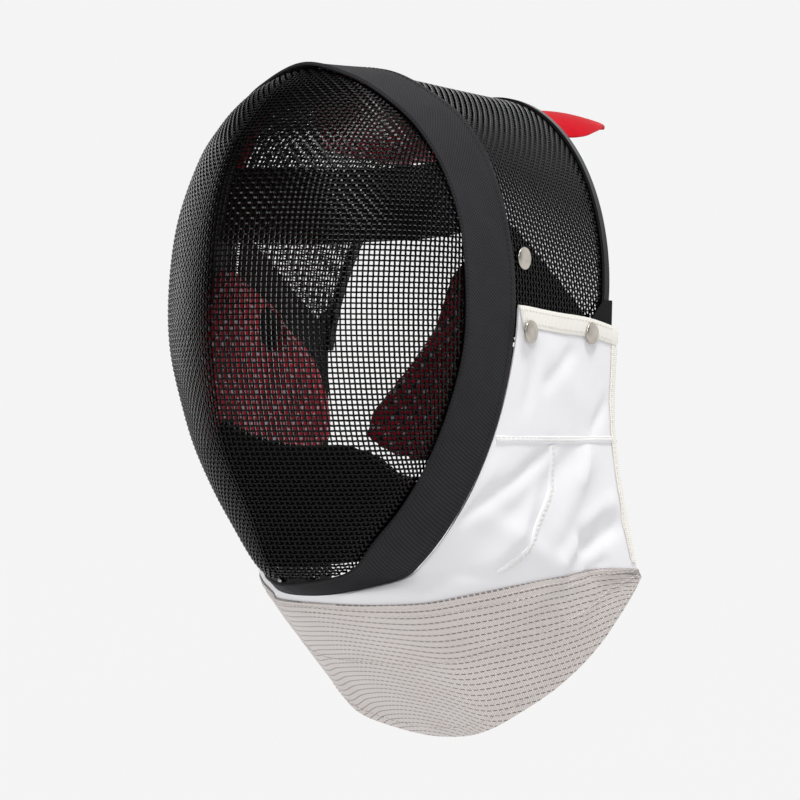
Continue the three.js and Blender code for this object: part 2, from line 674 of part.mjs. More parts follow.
add(
  "rear_rim",
  swept(rimStations, [
    [CLEARANCE + RIM_LEAF, RIM_FRONT],
    [CLEARANCE + RIM_LEAF, RIM_END],
    [RIM_INSIDE - RIM_LEAF, RIM_END],
    [RIM_INSIDE - RIM_LEAF, RIM_FRONT],
    [RIM_INSIDE, RIM_FRONT],
    [RIM_INSIDE, CLEARANCE],
    [CLEARANCE, CLEARANCE],
    [CLEARANCE, RIM_FRONT],
  ]),
  "paint",
);

// Band over the seam of the two meshes. It laps a little over the face mesh.
function bandSurface(u, v) {
  const turn = (2 * u - 1) * LAST_TURN;
  const lap = strip(turn, 0).add(V(0, -BAND_LAP * smooth((LAST_TURN - Math.abs(turn)) / BAND_LAP_FADE), 0));
  return v === 0 ? lap : strip(turn, v);
}
add(
  "face_band",
  slab(bandSurface, BAND_STATIONS, 2, LAP_CLEARANCE + BAND_THICKNESS, LAP_CLEARANCE, true),
  "webbing",
);

// Tongue: a leaf that is arched across and held under the rear of the crown mesh.
add(
  "tongue",
  slab(
    (u, v) => {
      const across = 2 * u - 1;
      const half = column(TONGUE, "half", v, "at") * TONGUE_WIDTH;
      const x = across * half;
      const arched = TONGUE_ARCH * ((2 * x) / TONGUE_WIDTH) ** 2;
      return V(
        x,
        TONGUE_TIP_BACK - TONGUE_LENGTH * (1 - v),
        TONGUE_LEVEL + TONGUE_RISE * column(TONGUE, "rise", v, "at") - arched,
      );
    },
    TONGUE_COLUMNS,
    TONGUE_ROWS,
    0,
    -TONGUE_THICKNESS,
  ),
  "tongue",
);

// Bib, the conductive panel over its lower part and the tape on its free edges.
add(
  "bib",
  slab((u, v) => bib(2 * u - 1, 3 * v), BIB_COLUMNS, BIB_ROWS, 0, BIB_THICKNESS),
  "white",
);
add(
  "bib_panel",
  slab(
    (u, v) => bib(2 * u - 1, 2 + v),
    BIB_COLUMNS,
    PANEL_ROWS,
    -CLEARANCE - PANEL_THICKNESS,
    -CLEARANCE,
  ),
  "knit",
);

// Cream tape on the free edges of the bib.
const tape = (side, surface, columns) =>
  slab(surface, columns, 1, -side * (TAPE_STANDOFF + TAPE_THICKNESS), -side * TAPE_STANDOFF);
const TAPE_DOWN = TAPE_TOP_WIDTH / (FACE_HEIGHT * (BIB_TOP[3].z - BIB[10].midZ));
const TAPE_ROUND = (TAPE_WIDTH * (1 - BIB_CORNER_SHARE)) / (FACE_DEPTH * (BIB_TOP[3].y - BIB_TOP[0].y));
const TAPE_START = TAPE_START_SHARE * TAPE_DOWN;
for (const [side, name] of [
  [1, "left"],
  [-1, "right"],
]) {
  add(
    "binding_top_" + name,
    tape(side, (u, v) => bib(side * mix(BIB_CORNER_SHARE, 1, u), TAPE_DOWN * v), TAPE_TOP_COLUMNS),
    "cream",
  );
  add(
    "binding_rear_" + name,
    tape(
      side,
      (u, v) => bib(side * (1 - TAPE_ROUND * v), mix(TAPE_START, TAPE_END_SHARE, u)),
      TAPE_REAR_COLUMNS,
    ),
    "cream",
  );
}

// Cheek pads with an ear hole. They are thickest in the middle and follow the wall of the mask.
for (const [side, name] of [
  [1, "left"],
  [-1, "right"],
]) {
  const front = CHEEK[0].y;
  const rear = CHEEK[CHEEK.length - 1].y;
  const surface = (u, v) => {
    const share = mix(front, rear, u);
    const z = mix(column(CHEEK, "bottom", share, "y"), column(CHEEK, "top", share, "y"), v);
    const y = share * FACE_DEPTH;
    return V(side * (wall(y, z * FACE_HEIGHT) - WIRE_CLOTH - BIB_THICKNESS), y, z * FACE_HEIGHT);
  };
  const swell = (u, v) => Math.sqrt(Math.sin(Math.PI * clamp01(u)) * Math.sin(Math.PI * clamp01(v)));
  const inner = (u, v) =>
    -side * (CHEEK_STANDOFF + mix(CHEEK_EDGE, CHEEK_THICKNESS, swell(u, v)));
  const pad = slab(surface, CHEEK_COLUMNS, CHEEK_ROWS, -side * CHEEK_STANDOFF, inner);
  const hole = new THREE.CylinderGeometry(0.5, 0.5, FACE_WIDTH / 2, EAR_SIDES);
  hole.scale(EAR_LENGTH, 1, EAR_HEIGHT);
  hole.rotateZ(QUARTER);
  hole.translate(side * (FACE_WIDTH / 2), EAR_BACK, EAR_LEVEL);
  hole.deleteAttribute("normal");
  hole.deleteAttribute("uv");
  const drill = mergeVertices(hole);
  add("cheek_pad_" + name, geometryOf(solid(pad).subtract(solid(drill))), "print");
}

// Black lining of the chin, inside the lower face mesh, its sides running on inside the band.
const chin = (inset) => (u, v) => {
  const across = 2 * u - 1;
  const top = column(CHIN, "top", Math.abs(across), "across", 1);
  const z = mix(CHIN_BOTTOM_SHARE, top, v) * FACE_HEIGHT;
  const bow = across / CHIN_SEAM_SHARE;
  if (Math.abs(bow) <= 1) return face(bow * QUARTER, z, inset);
  const past = (Math.abs(across) - CHIN_SEAM_SHARE) / (1 - CHIN_SEAM_SHARE);
  const y = seam(turnAt(seam, z)).y + CHIN_WING * past;
  return V(Math.sign(across) * (wall(y, z) - inset), y, z);
};
add(
  "chin_pad",
  between(
    gridOf(chin(CHIN_STANDOFF), CHIN_COLUMNS, CHIN_ROWS),
    gridOf(chin(CHIN_STANDOFF + CHIN_THICKNESS), CHIN_COLUMNS, CHIN_ROWS),
  ),
  "black",
);

// Brow pad: a padded roll inside the upper part of the band.
const browStations = [];
for (let n = 0; n <= BROW_STATIONS; n++) {
  const turn = mix(-BROW_TURNS, BROW_TURNS, n / BROW_STATIONS);
  const out = stripNormal(turn);
  const back = strip(turn, 1).sub(strip(turn, 0)).normalize();
  const inward = BROW_THICKNESS / 2 + BROW_STANDOFF;
  browStations.push({ origin: strip(turn, BROW_AT_SHARE).addScaledVector(out, -inward), out, back });
}
const roll = [];
for (let n = 0; n < BROW_SIDES; n++) {
  const angle = (n / BROW_SIDES) * 2 * Math.PI;
  roll.push([(Math.cos(angle) * BROW_THICKNESS) / 2, (Math.sin(angle) * BROW_HEIGHT) / 2]);
}
add("brow_pad", swept(browStations, roll), "print");

// Crown pad: a block under the top of the crown mesh, its underside arched over the head.
const crownPad = (upper) => (u, v) => {
  const across = 2 * u - 1;
  const along = 2 * v - 1;
  const draw = upper ? 1 : 1 - CROWN_PAD_SOFTNESS * (across ** 6 + along ** 6);
  const x = (across * draw * CROWN_PAD_WIDTH) / 2;
  const y = CROWN_PAD_FRONT + ((1 + along * draw) * CROWN_PAD_LENGTH) / 2;
  const seat = SEAT_HEIGHT + CROWN_PAD_ARCH * (across ** 2 + ((y - SEAT_BACK) / SEAT_BACK) ** 2);
  return V(x, y, upper ? crownHeight(Math.abs(x), y) - CROWN_PAD_DROP : seat);
};
add(
  "crown_pad",
  between(
    gridOf(crownPad(true), CROWN_PAD_CELLS, CROWN_PAD_CELLS),
    gridOf(crownPad(false), CROWN_PAD_CELLS, CROWN_PAD_CELLS),
  ),
  "print",
);

// Forehead strap: a band that runs across the inside from one side of the mask to the other.
add(
  "forehead_strap",
  slab(
    (u, v) => {
      const across = 2 * u - 1;
      const z = STRAP_BOTTOM + STRAP_HEIGHT * v;
      const half = wall(STRAP_FRONT, z) - STRAP_STANDOFF;
      return V(across * half, mix(STRAP_BACK, STRAP_FRONT, Math.abs(across) ** STRAP_BOW_POWER), z);
    },
    STRAP_COLUMNS,
    STRAP_ROWS,
    0,
    -STRAP_THICKNESS,
  ),
  "black",
);

// A domed metal cap, its axis along X.
function cap(name, side, point, standoff) {
  const radius = CAP_DIAMETER / 2;
  const profile = [new THREE.Vector2(0, 0), new THREE.Vector2(radius, 0)];
  for (let n = 0; n <= 3; n++) {
    const angle = (n / 4) * QUARTER;
    profile.push(
      new THREE.Vector2(
        radius * Math.cos(angle),
        CAP_EDGE + (CAP_HEIGHT - CAP_EDGE) * Math.sin(angle),
      ),
    );
  }
  profile.push(new THREE.Vector2(0, CAP_HEIGHT));
  const mesh = add(name, new THREE.LatheGeometry(profile, CAP_SIDES), "nickel");
  mesh.rotation.z = -side * QUARTER;
  mesh.position.copy(point);
  mesh.position.x += side * standoff;
}

for (const [side, name] of [
  [1, "left"],
  [-1, "right"],
]) {
  // Black gusset inside the crown mesh, its upper edge falling towards the rear.
  add(
    "side_gusset_" + name,
    slab(
      (u, v) =>
        crown(
          side * mix(GUSSET_FOOT_SHARE, mix(GUSSET_TOP_FRONT_SHARE, GUSSET_TOP_REAR_SHARE, u), v),
          mix(GUSSET_FRONT_SHARE, GUSSET_REAR_SHARE, u),
        ),
      GUSSET_COLUMNS,
      GUSSET_ROWS,
      -side * (WIRE_CLOTH + GUSSET_STANDOFF),
      -side * (WIRE_CLOTH + GUSSET_STANDOFF + GUSSET_THICKNESS),
    ),
    "black",
  );
  // Cloth tab over the lower end of the rear rim, its foot under the bib.
  const tab = new THREE.Shape(
    TAB.map((p) => new THREE.Vector2(p.y * FACE_DEPTH, p.z * FACE_HEIGHT)),
  );
  const cloth = new THREE.ExtrudeGeometry(tab, { depth: TAB_THICKNESS, bevelEnabled: false });
  const patch = add("strap_tab_" + name, cloth, "black");
  patch.quaternion.setFromAxisAngle(V(1, 1, 1).normalize(), (2 * Math.PI) / 3);
  patch.position.x = side > 0 ? TAB_INSIDE : -TAB_INSIDE - TAB_THICKNESS;

  cap("rivet_" + name, side, crown(side * RIVET_ROUND_SHARE, RIVET_ALONG_SHARE), RIVET_STANDOFF);
  const snapFront = bib(side * SNAP_FRONT_ROUND_SHARE, SNAP_FRONT_DOWN_SHARE);
  const snapRear = bib(side * SNAP_REAR_ROUND_SHARE, SNAP_REAR_DOWN_SHARE);
  cap("snap_front_" + name, side, snapFront, SNAP_OVER_TAPE);
  cap("snap_rear_" + name, side, snapRear, SNAP_OVER_TAPE);
}

export default mask;
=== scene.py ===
import bpy
import math
import numpy as np
from functools import lru_cache
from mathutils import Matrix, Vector


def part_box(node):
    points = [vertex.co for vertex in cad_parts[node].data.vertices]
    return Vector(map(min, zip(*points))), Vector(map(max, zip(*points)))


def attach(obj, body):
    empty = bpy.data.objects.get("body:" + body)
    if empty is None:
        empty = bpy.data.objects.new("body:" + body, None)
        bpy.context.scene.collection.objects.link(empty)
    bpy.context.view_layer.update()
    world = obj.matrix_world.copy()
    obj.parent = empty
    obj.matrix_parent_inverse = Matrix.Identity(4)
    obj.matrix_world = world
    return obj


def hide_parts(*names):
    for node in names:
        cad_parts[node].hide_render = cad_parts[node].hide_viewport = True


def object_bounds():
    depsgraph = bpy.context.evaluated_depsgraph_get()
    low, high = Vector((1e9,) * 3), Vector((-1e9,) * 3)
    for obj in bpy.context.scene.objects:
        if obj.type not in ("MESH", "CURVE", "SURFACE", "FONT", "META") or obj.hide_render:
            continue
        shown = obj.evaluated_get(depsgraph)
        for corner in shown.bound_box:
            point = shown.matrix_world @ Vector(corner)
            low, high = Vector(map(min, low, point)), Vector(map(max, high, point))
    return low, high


# Fencing mask with a conductive bib. The frame holds the mask's solids; what is woven, sewn and
# padded is made here and stands in for them. Tables are in shares of the mask's named sizes.
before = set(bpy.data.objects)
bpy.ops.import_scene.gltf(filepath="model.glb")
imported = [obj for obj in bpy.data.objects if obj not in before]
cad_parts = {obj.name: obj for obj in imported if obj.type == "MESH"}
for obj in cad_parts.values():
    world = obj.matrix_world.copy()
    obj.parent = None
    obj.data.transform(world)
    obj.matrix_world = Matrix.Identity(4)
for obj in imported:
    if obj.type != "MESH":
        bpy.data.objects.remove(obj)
cad_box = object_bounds()

MM = 0.001
FACE_WIDTH = 208
FACE_HEIGHT = 300
FACE_DEPTH = 102
SEAT = np.array([0, -65, -98.6])

WIRE = 1.02
# Wires are drawn with four sides: 0.93 mm across their flats, 1.32 mm across their corners.
WIRE_RADIUS = 0.66
WIRE_SIDES = 4
WIRE_PITCH = 3.0
WIRE_DEPTH = 0.8
WIRE_WAVE = 0.45 * WIRE
CROWN_WIRES_FRONT = 12
BAND_LAP = 2
BAND_STANDOFF = 0.6
BAND_THICKNESS = 1.6
BAND_STATIONS = 360
BAND_SEWN_AT = 0.9
PIPING = 1.15
CROWN_HALF_WIDTH = 108.5
CROWN_HEIGHT = 150.5
CROWN_ROUNDNESS = 1.85
CROWN_SKIRT = 16
CROWN_INSIDE = 0.7
RIM_TOP_BACK = 181
RIM_SIDE_BACK = 142
RIM_LEAF = 1.5
RIM_OUTSIDE = 0.3 + RIM_LEAF
RIM_INSIDE = -1.9 - RIM_LEAF
TONGUE_LENGTH = 170
TONGUE_TIP_BACK = 319
TONGUE_WIDTH = 70
TONGUE_LEVEL = 146.1
TONGUE_RISE = 4
TONGUE_ARCH = 20
TONGUE_THICKNESS = 2.6
BIB_CORNER = 0.7
BIB_GAP = 1.5
BIB_STANDOFF = 2.6
BIB_CLOTH = 1.5
FOLD_FADE = 40
FOLD_TOP_FADE = 0.35
FOLD_REAR_FADE = 0.06
PANEL_TOP = 1.3
PANEL_UNDER = 0.3
PANEL_START = 60
PANEL_STITCH_ROWS = (2.05, 2.13, 2.5, 2.93)
PANEL_STITCH_HEIGHT = 1.35
SEAM_HALF_WIDTH = 2.4
THREAD = 0.26
PANEL_THREAD = 0.3
TAPE_WIDTH = 6.2
TAPE_TOP_WIDTH = 11
TAPE_START_SHARE = 1.1
TAPE_END_SHARE = 1.9
STRAP_HEIGHT = 46
STRAP_BOTTOM = 50
STRAP_FRONT = 14
STRAP_BACK = 72
STRAP_STANDOFF = 4.6
STRAP_BOW_POWER = 2.2
STRAP_CLOTH = 1.8
GUSSET_FRONT, GUSSET_REAR = 0.18, 0.86
GUSSET_FOOT = 0.99
GUSSET_TOP_FRONT, GUSSET_TOP_REAR = 0.7, 0.92
GUSSET_TOP, GUSSET_UNDER = -2.4, -3.7
TAB_INSIDE = 110.8
TAB_CLOTH = 1
PRESSURE = 4
PRESSURE_FRAMES = 20
CAP_DIAMETER = 13.5
CAP_HEIGHT = 2.4


def table(names, *rows):
    return {name: [row[n] for row in rows] for n, name in enumerate(names.split())}


# The face opening from brow to chin: the seam of the two meshes and the rear edge of the band.
EDGE = table(
    "x y z outer_x outer_y outer_z",
    (0, -0.186, 0.49, 0, 0.225, 0.497),
    (0.164, -0.167, 0.457, 0.155, 0.235, 0.484),
    (0.274, -0.123, 0.41, 0.29, 0.265, 0.435),
    (0.357, -0.049, 0.35, 0.396, 0.304, 0.373),
    (0.426, 0, 0.267, 0.466, 0.343, 0.283),
    (0.4785, 0.005, 0.167, 0.504, 0.382, 0.177),
    (0.5, 0, 0.05, 0.519, 0.412, 0.053),
    (0.493, 0, -0.067, 0.512, 0.402, -0.067),
    (0.443, 0, -0.183, 0.488, 0.343, -0.2),
    (0.381, -0.02, -0.283, 0.45, 0.235, -0.317),
    (0.314, -0.069, -0.367, 0.39, 0.16, -0.407),
    (0.238, -0.118, -0.433, 0.292, 0.165, -0.48),
    (0.16, -0.15, -0.495, 0.222, 0.13, -0.517),
    (0.088, -0.275, -0.514, 0.12, -0.12, -0.54),
    (0, -0.37, -0.52, 0, -0.216, -0.545),
)
# Forward reach of the crease down the middle of the face at each height.
CREASE = table(
    "z reach",
    (0.49, 0.186),
    (0.437, 0.431),
    (0.377, 0.633),
    (0.319, 0.788),
    (0.21, 0.925),
    (0.053, 0.992),
    (-0.06, 0.992),
    (-0.183, 0.938),
    (-0.273, 0.86),
    (-0.4, 0.633),
    (-0.487, 0.497),
    (-0.52, 0.38),
)
CREASE_POWER = 1.35
SIDE_POWER = 0.58
# The bib from the middle of the front to its rear edge: halfway down, the panel's top line and
# the hem.
BIB = table(
    "at mid_x mid_y mid_z line_x line_y line_z hem_x hem_y hem_z",
    (0, 0, -0.19, -0.551, 0, -0.13, -0.566, 0, 1.088, -0.882),
    (0.12, 0.155, -0.07, -0.545, 0.155, -0.03, -0.568, 0.13, 1.07, -0.873),
    (0.24, 0.285, 0.2, -0.53, 0.275, 0.2, -0.566, 0.245, 1, -0.848),
    (0.36, 0.39, 0.28, -0.48, 0.38, 0.35, -0.55, 0.337, 1.03, -0.81),
    (0.46, 0.46, 0.37, -0.413, 0.452, 0.5, -0.537, 0.423, 1.127, -0.763),
    (0.55, 0.508, 0.47, -0.347, 0.5, 0.67, -0.527, 0.486, 1.235, -0.713),
    (0.64, 0.53, 0.57, -0.273, 0.526, 0.86, -0.52, 0.529, 1.343, -0.663),
    (0.7, 0.54, 0.66, -0.24, 0.534, 0.98, -0.517, 0.548, 1.41, -0.63),
    (0.8, 0.546, 0.91, -0.24, 0.548, 1.17, -0.513, 0.572, 1.49, -0.587),
    (0.9, 0.55, 1.18, -0.24, 0.572, 1.36, -0.513, 0.589, 1.53, -0.557),
    (1, 0.553, 1.41, -0.24, 0.6, 1.52, -0.517, 0.601, 1.554, -0.533),
)
BIB_TOP = table(
    "at x y z",
    (0.7, 0.54, 0.425, 0.018),
    (0.8, 0.549, 0.745, 0.008),
    (0.9, 0.556, 1.098, 0),
    (1, 0.558, 1.42, -0.017),
)
# Folds of the bib as ridges and valleys between two points of the side view: depths and heights in
# shares, width and rise in millimetres.
FOLDS = (
    (0.98, -0.27, 0.36, -0.42, 8, -2.6),
    (1.15, -0.27, 0.75, -0.46, 10, 3.2),
    (0.3, -0.39, 0.95, -0.53, 7, 2.4),
    (1.02, -0.48, 1.32, -0.4, 7, -2.8),
    (0.55, -0.02, 1.1, -0.2, 12, 1.4),
)
# Finer folds of the cloth, in the same terms.
FINE_FOLDS = (
    (0.72, -0.262, 0.1, -0.418, 5, -4),
    (0.64, -0.345, 0.4, -0.49, 5, 3),
    (1.02, -0.452, 0.83, -0.5, 7, 4),
    (1.5, -0.405, 1.12, -0.474, 5, -4),
    (1.4, -0.37, 1.02, -0.425, 6, 2.4),
    (-0.36, -0.46, 0.37, -0.512, 4, -2),
    (0.96, -0.064, 0.67, -0.14, 5, -2.2),
    (1.41, -0.145, 1.17, -0.23, 5, -2.4),
    (0.62, -0.05, 0.5, -0.19, 5, -1.5),
    (1.12, -0.523, 1.3, -0.495, 5, -2),
    (0.35, -0.29, 0.0, -0.4, 6, 2),
    (1.1, -0.265, 1.02, -0.34, 4, 2),
    (0.85, -0.56, 0.6, -0.68, 7, -2),
    (1.2, -0.55, 1.05, -0.63, 7, 2),
    (0.3, -0.6, 0.15, -0.74, 8, -2),
)
TONGUE = table(
    "at half rise",
    (0, 0.36, -0.1),
    (0.15, 0.42, 0),
    (0.376, 0.5, 0.5),
    (0.535, 0.49, 1.1),
    (0.653, 0.43, 1.3),
    (0.76, 0.345, 1.2),
    (0.853, 0.22, 1),
    (0.9, 0.155, 0.85),
    (0.96, 0.08, 0.7),
    (1, 0.03, 0.6),
)
TAB = ((1.2, -0.027), (1.43, -0.03), (1.44, 0.04), (1.35, 0.04), (1.2, -0.003))


def mix(a, b, t):
    return a + (b - a) * t


def smooth(t):
    t = np.clip(t, 0, 1)
    return t * t * (3 - 2 * t)


def unit(v):
    return v / np.maximum(np.linalg.norm(v, axis=-1, keepdims=True), 1e-12)


def run_along(path):
    """The distance along a path at each of its points."""
    return np.append(0, np.cumsum(np.linalg.norm(np.diff(path, axis=0), axis=1)))


def sampled(at, run, points):
    """Points between the points of a path, at distances along its run."""
    return np.stack([np.interp(at, run, points[:, k]) for k in range(points.shape[1])], -1)


def extended(values, first=0, end=0):
    """Values with one more on both sides: straight on, or a share of the next but one."""
    before = first * values[1] if first else 2 * values[0] - values[1]
    after = end * values[-2] if end else 2 * values[-1] - values[-2]
    return [before, *values, after]


def column(rows, name, at, key=None, first=0, end=0):
    """A column of a table at a place between two of its rows, as a smooth curve."""
    values = extended(rows[name], first, end)
    places = extended(rows[key] if key else range(len(values) - 2))
    rising = places[-2] > places[1]
    i = 1
    while i < len(values) - 3 and (at > places[i + 1] if rising else at < places[i + 1]):
        i += 1

    def slope(n):
        return (values[n + 1] - values[n - 1]) / (places[n + 1] - places[n - 1])

    span = places[i + 1] - places[i]
    t = min(1, max(0, (at - places[i]) / span))
    s = t * t * (3 - 2 * t)
    return mix(values[i], values[i + 1], s) + span * (
        slope(i) * (t**3 - 2 * t * t + t) + slope(i + 1) * (t**3 - t * t)
    )


LAST_TURN = len(EDGE["x"]) - 1


def edge_curve(start):
    """A curve of EDGE, as a function of the turn from brow (0) to chin (LAST_TURN)."""
    ways = (("x", -1, FACE_WIDTH), ("y", 1, FACE_DEPTH), ("z", 1, FACE_HEIGHT))

    @lru_cache(None)
    def curve(turn):
        return tuple(column(EDGE, start + k, turn, None, end, end) * size for k, end, size in ways)

    return curve


seam = edge_curve("")
outer = edge_curve("outer_")


@lru_cache(None)
def turn_at(curve, z):
    """The turn at which a curve that falls from brow to chin reaches a height."""
    low, high = 0, LAST_TURN
    for _ in range(30):
        half = (low + high) / 2
        if curve(half)[2] > z:
            low = half
        else:
            high = half
    return low


def flip(at):
    """Mirrors a point where the place round the mask is on its right side, below 0."""
    return np.array([-1 if at < 0 else 1, 1, 1])


def strip(turn, width):
    """The surface under the band: width runs from 0 at the seam to 1 at the rear edge."""
    return mix(np.array(seam(abs(turn))), np.array(outer(abs(turn))), width) * flip(turn)


def strip_normal(turn):
    run = strip(turn + 0.05, 0.5) - strip(turn - 0.05, 0.5)
    return unit(np.cross(run, strip(turn, 1) - strip(turn, 0)))


def crease_reach(z):
    return -column(CREASE, "reach", z / FACE_HEIGHT, "z") * FACE_DEPTH


def wall(y, z):
    """Half the clear width of the mask at a depth and height."""
    edge, rear = seam(turn_at(seam, z)), outer(turn_at(outer, z))
    if y < edge[1]:
        forward = min(1, max(0, (edge[1] - y) / (edge[1] - crease_reach(z))))
        return edge[0] * (1 - forward ** (1 / SIDE_POWER)) ** (1 / CREASE_POWER)
    if y < rear[1]:
        return mix(edge[0], rear[0], (y - edge[1]) / (rear[1] - edge[1]))
    return mix(rear[0], CROWN_HALF_WIDTH, min(1, (y - rear[1]) / (RIM_SIDE_BACK - rear[1])))


angles = np.linspace(0, math.pi / 2, 181)
arch_x = CROWN_HALF_WIDTH * np.sin(angles) ** (2 / CROWN_ROUNDNESS)
arch_z = CROWN_HEIGHT * np.clip(np.cos(angles), 0, 1) ** (2 / CROWN_ROUNDNESS)
arch_x = np.append(arch_x, CROWN_HALF_WIDTH)
arch_z = np.append(arch_z, -CROWN_SKIRT)
arch_y = mix(RIM_SIDE_BACK, RIM_TOP_BACK, arch_z / CROWN_HEIGHT)
ARCH = np.stack([arch_x, arch_y, arch_z], 1)
arch_run = run_along(ARCH)


def arch(share):
    """The rear edge of the crown mesh, evenly spaced from the top (0) to its skirt's end (1)."""
    return sampled(share * arch_run[-1], arch_run, ARCH)


CROWN_TURN = turn_at(outer, -CROWN_SKIRT)


def crown_line(round_):
    """The band's edge and the rear edge of the crown mesh at a share round the head."""
    turn = abs(round_) * CROWN_TURN
    inward = strip_normal(turn) * -CROWN_INSIDE
    return (strip(turn, 1) + inward) * flip(round_), arch(abs(round_)) * flip(round_)


def through(points, t):
    """A smooth curve through four points, reached at 0, 1, 2 and 3."""
    ends = [2 * points[0] - points[1], *points, 2 * points[3] - points[2]]
    i = min(2, int(t))
    p = ends[i : i + 4]
    k = [0]
    for n in range(1, 4):
        k.append(k[-1] + math.sqrt(np.linalg.norm(p[n] - p[n - 1]) + 1e-6))
    at = mix(k[1], k[2], t - i)

    def blend(a, b, start, stop):
        return (a * (stop - at) + b * (at - start)) / (stop - start)

    a, b, c = (blend(p[n], p[n + 1], k[n], k[n + 1]) for n in range(3))
    return blend(blend(a, b, k[0], k[2]), blend(b, c, k[1], k[3]), k[1], k[2])


def bib_top(at):
    if at > BIB_CORNER:
        x, y, z = (column(BIB_TOP, name, at, "at") for name in "xyz")
        return np.array([x * FACE_WIDTH, y * FACE_DEPTH, z * FACE_HEIGHT])
    turn = mix(LAST_TURN, turn_at(outer, BIB_TOP["z"][0] * FACE_HEIGHT), at / BIB_CORNER)
    edge = np.array(outer(turn))
    away = unit(edge - np.array(seam(turn))) * BIB_GAP
    out = np.array([BIB_STANDOFF * smooth((at - 0.5) / (BIB_CORNER - 0.5)), 0, 0])
    return edge + away + out


@lru_cache(None)
def bib_rows(at):
    def row(name):
        return np.array(
            [
                column(BIB, name + "_x", at, "at", -1) * FACE_WIDTH,
                column(BIB, name + "_y", at, "at", 1) * FACE_DEPTH,
                column(BIB, name + "_z", at, "at", 1) * FACE_HEIGHT,
            ]
        )

    return bib_top(at), row("mid"), row("line"), row("hem")


def fold_height(points, rows):
    """How high the folds of a table stand over points of the side view."""
    rise = np.zeros(points.shape[:-1])
    for y1, z1, y2, z2, width, height in rows:
        ay, az, by, bz = y1 * FACE_DEPTH, z1 * FACE_HEIGHT, y2 * FACE_DEPTH, z2 * FACE_HEIGHT
        length = math.hypot(by - ay, bz - az)
        y, z = points[..., 1] - ay, points[..., 2] - az
        t = (y * (by - ay) + z * (bz - az)) / length**2
        off = (y * (bz - az) - z * (by - ay)) / length
        ends = smooth((t + 0.2) / 0.4) * smooth((1.2 - t) / 0.4)
        rise += height * ends * np.exp(-((off / width) ** 2))
    return rise


def bib_grid(rounds, downs):
    """The bib: round from -1 to 1 between its rear edges, down from 0 (top) to 3 (hem)."""
    grid = np.array([[through(bib_rows(abs(r)), d) for d in downs] for r in rounds])
    side = np.where(np.array(rounds) < 0, -1.0, 1.0)[:, None]
    grid[..., 0] *= side
    edge = smooth(np.array(downs) / FOLD_TOP_FADE)[None]
    edge = edge * smooth((1 - np.abs(rounds)) / FOLD_REAR_FADE)[:, None]
    outside = smooth((np.abs(grid[..., 0]) - FOLD_FADE) / FOLD_FADE)
    grid[..., 0] += side * (fold_height(grid, FOLDS + FINE_FOLDS) * edge * outside)
    return grid


# Making meshes. Points are in millimetres of the tables; place() moves them to the frame.
def place(points):
    return (np.asarray(points, float) + SEAT) * MM


def linked(name, mesh):
    """A new object of a mesh, selected by itself."""
    made = bpy.data.objects.new(name, mesh)
    bpy.context.scene.collection.objects.link(made)
    return alone(made)


def alone(made):
    bpy.ops.object.select_all(action="DESELECT")
    made.select_set(True)
    bpy.context.view_layer.objects.active = made
    return made


def object_of(name, points, faces):
    """An object from points in metres and faces."""
    mesh = bpy.data.meshes.new(name)
    mesh.from_pydata(np.asarray(points).tolist(), [], faces)
    mesh.update()
    return linked(name, mesh)


def values_of(items, name, width=1, kind=float):
    """One property of all the items of a mesh, as an array."""
    values = np.zeros(len(items) * width, kind)
    items.foreach_get(name, values)
    return values.reshape(-1, width) if width > 1 else values


def loop_points(mesh):
    """The point number of each corner of a mesh's faces."""
    return values_of(mesh.loops, "vertex_index", 1, np.int32)


def lay_out(mesh, uv):
    mesh.uv_layers.new(name="cut").data.foreach_set("uv", uv.ravel())


def faced_out(made):
    """Turns all the faces of a closed mesh outwards."""
    alone(made)
    bpy.ops.object.mode_set(mode="EDIT")
    bpy.ops.mesh.select_all(action="SELECT")
    bpy.ops.mesh.normals_make_consistent(inside=False)
    bpy.ops.object.mode_set(mode="OBJECT")
    return made


def applied(made, name, kind, **settings):
    """Adds a modifier with its settings and applies it."""
    modifier = made.modifiers.new(name, kind)
    for label, value in settings.items():
        setattr(modifier, label, value)
    bpy.ops.object.modifier_apply(modifier=modifier.name)


def stands_for(node_name):
    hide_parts(node_name)


def finished(made, material, sharp=50):
    alone(made)
    bpy.ops.object.shade_smooth_by_angle(angle=math.radians(sharp))
    made.data.materials.clear()
    made.data.materials.append(material)
    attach(made, "root")
    return made


def outward(grid, wrap=False):
    """Unit normals of a grid of points, pointing away from the inside of the mask."""
    if wrap:
        across = np.roll(grid, -1, 0) - np.roll(grid, 1, 0)
    else:
        across = np.gradient(grid, axis=0)
    normals = unit(np.cross(across, np.gradient(grid, axis=1)))
    away = grid - np.array([0, 60, 0])
    away[..., 2] *= 0.2
    return normals if (normals * away).sum() > 0 else -normals


def lengths(grid):
    """Distances in metres along both ways of a grid, the first from its middle line."""
    steps = np.linalg.norm(np.diff(grid, axis=0), axis=2)
    u = np.concatenate([np.zeros((1, grid.shape[1])), np.cumsum(steps, 0)])
    u -= u[len(u) // 2]
    steps = np.linalg.norm(np.diff(grid, axis=1), axis=2)
    v = np.concatenate([np.zeros((grid.shape[0], 1)), np.cumsum(steps, 1)], 1)
    return np.stack([u, v], 2) * MM


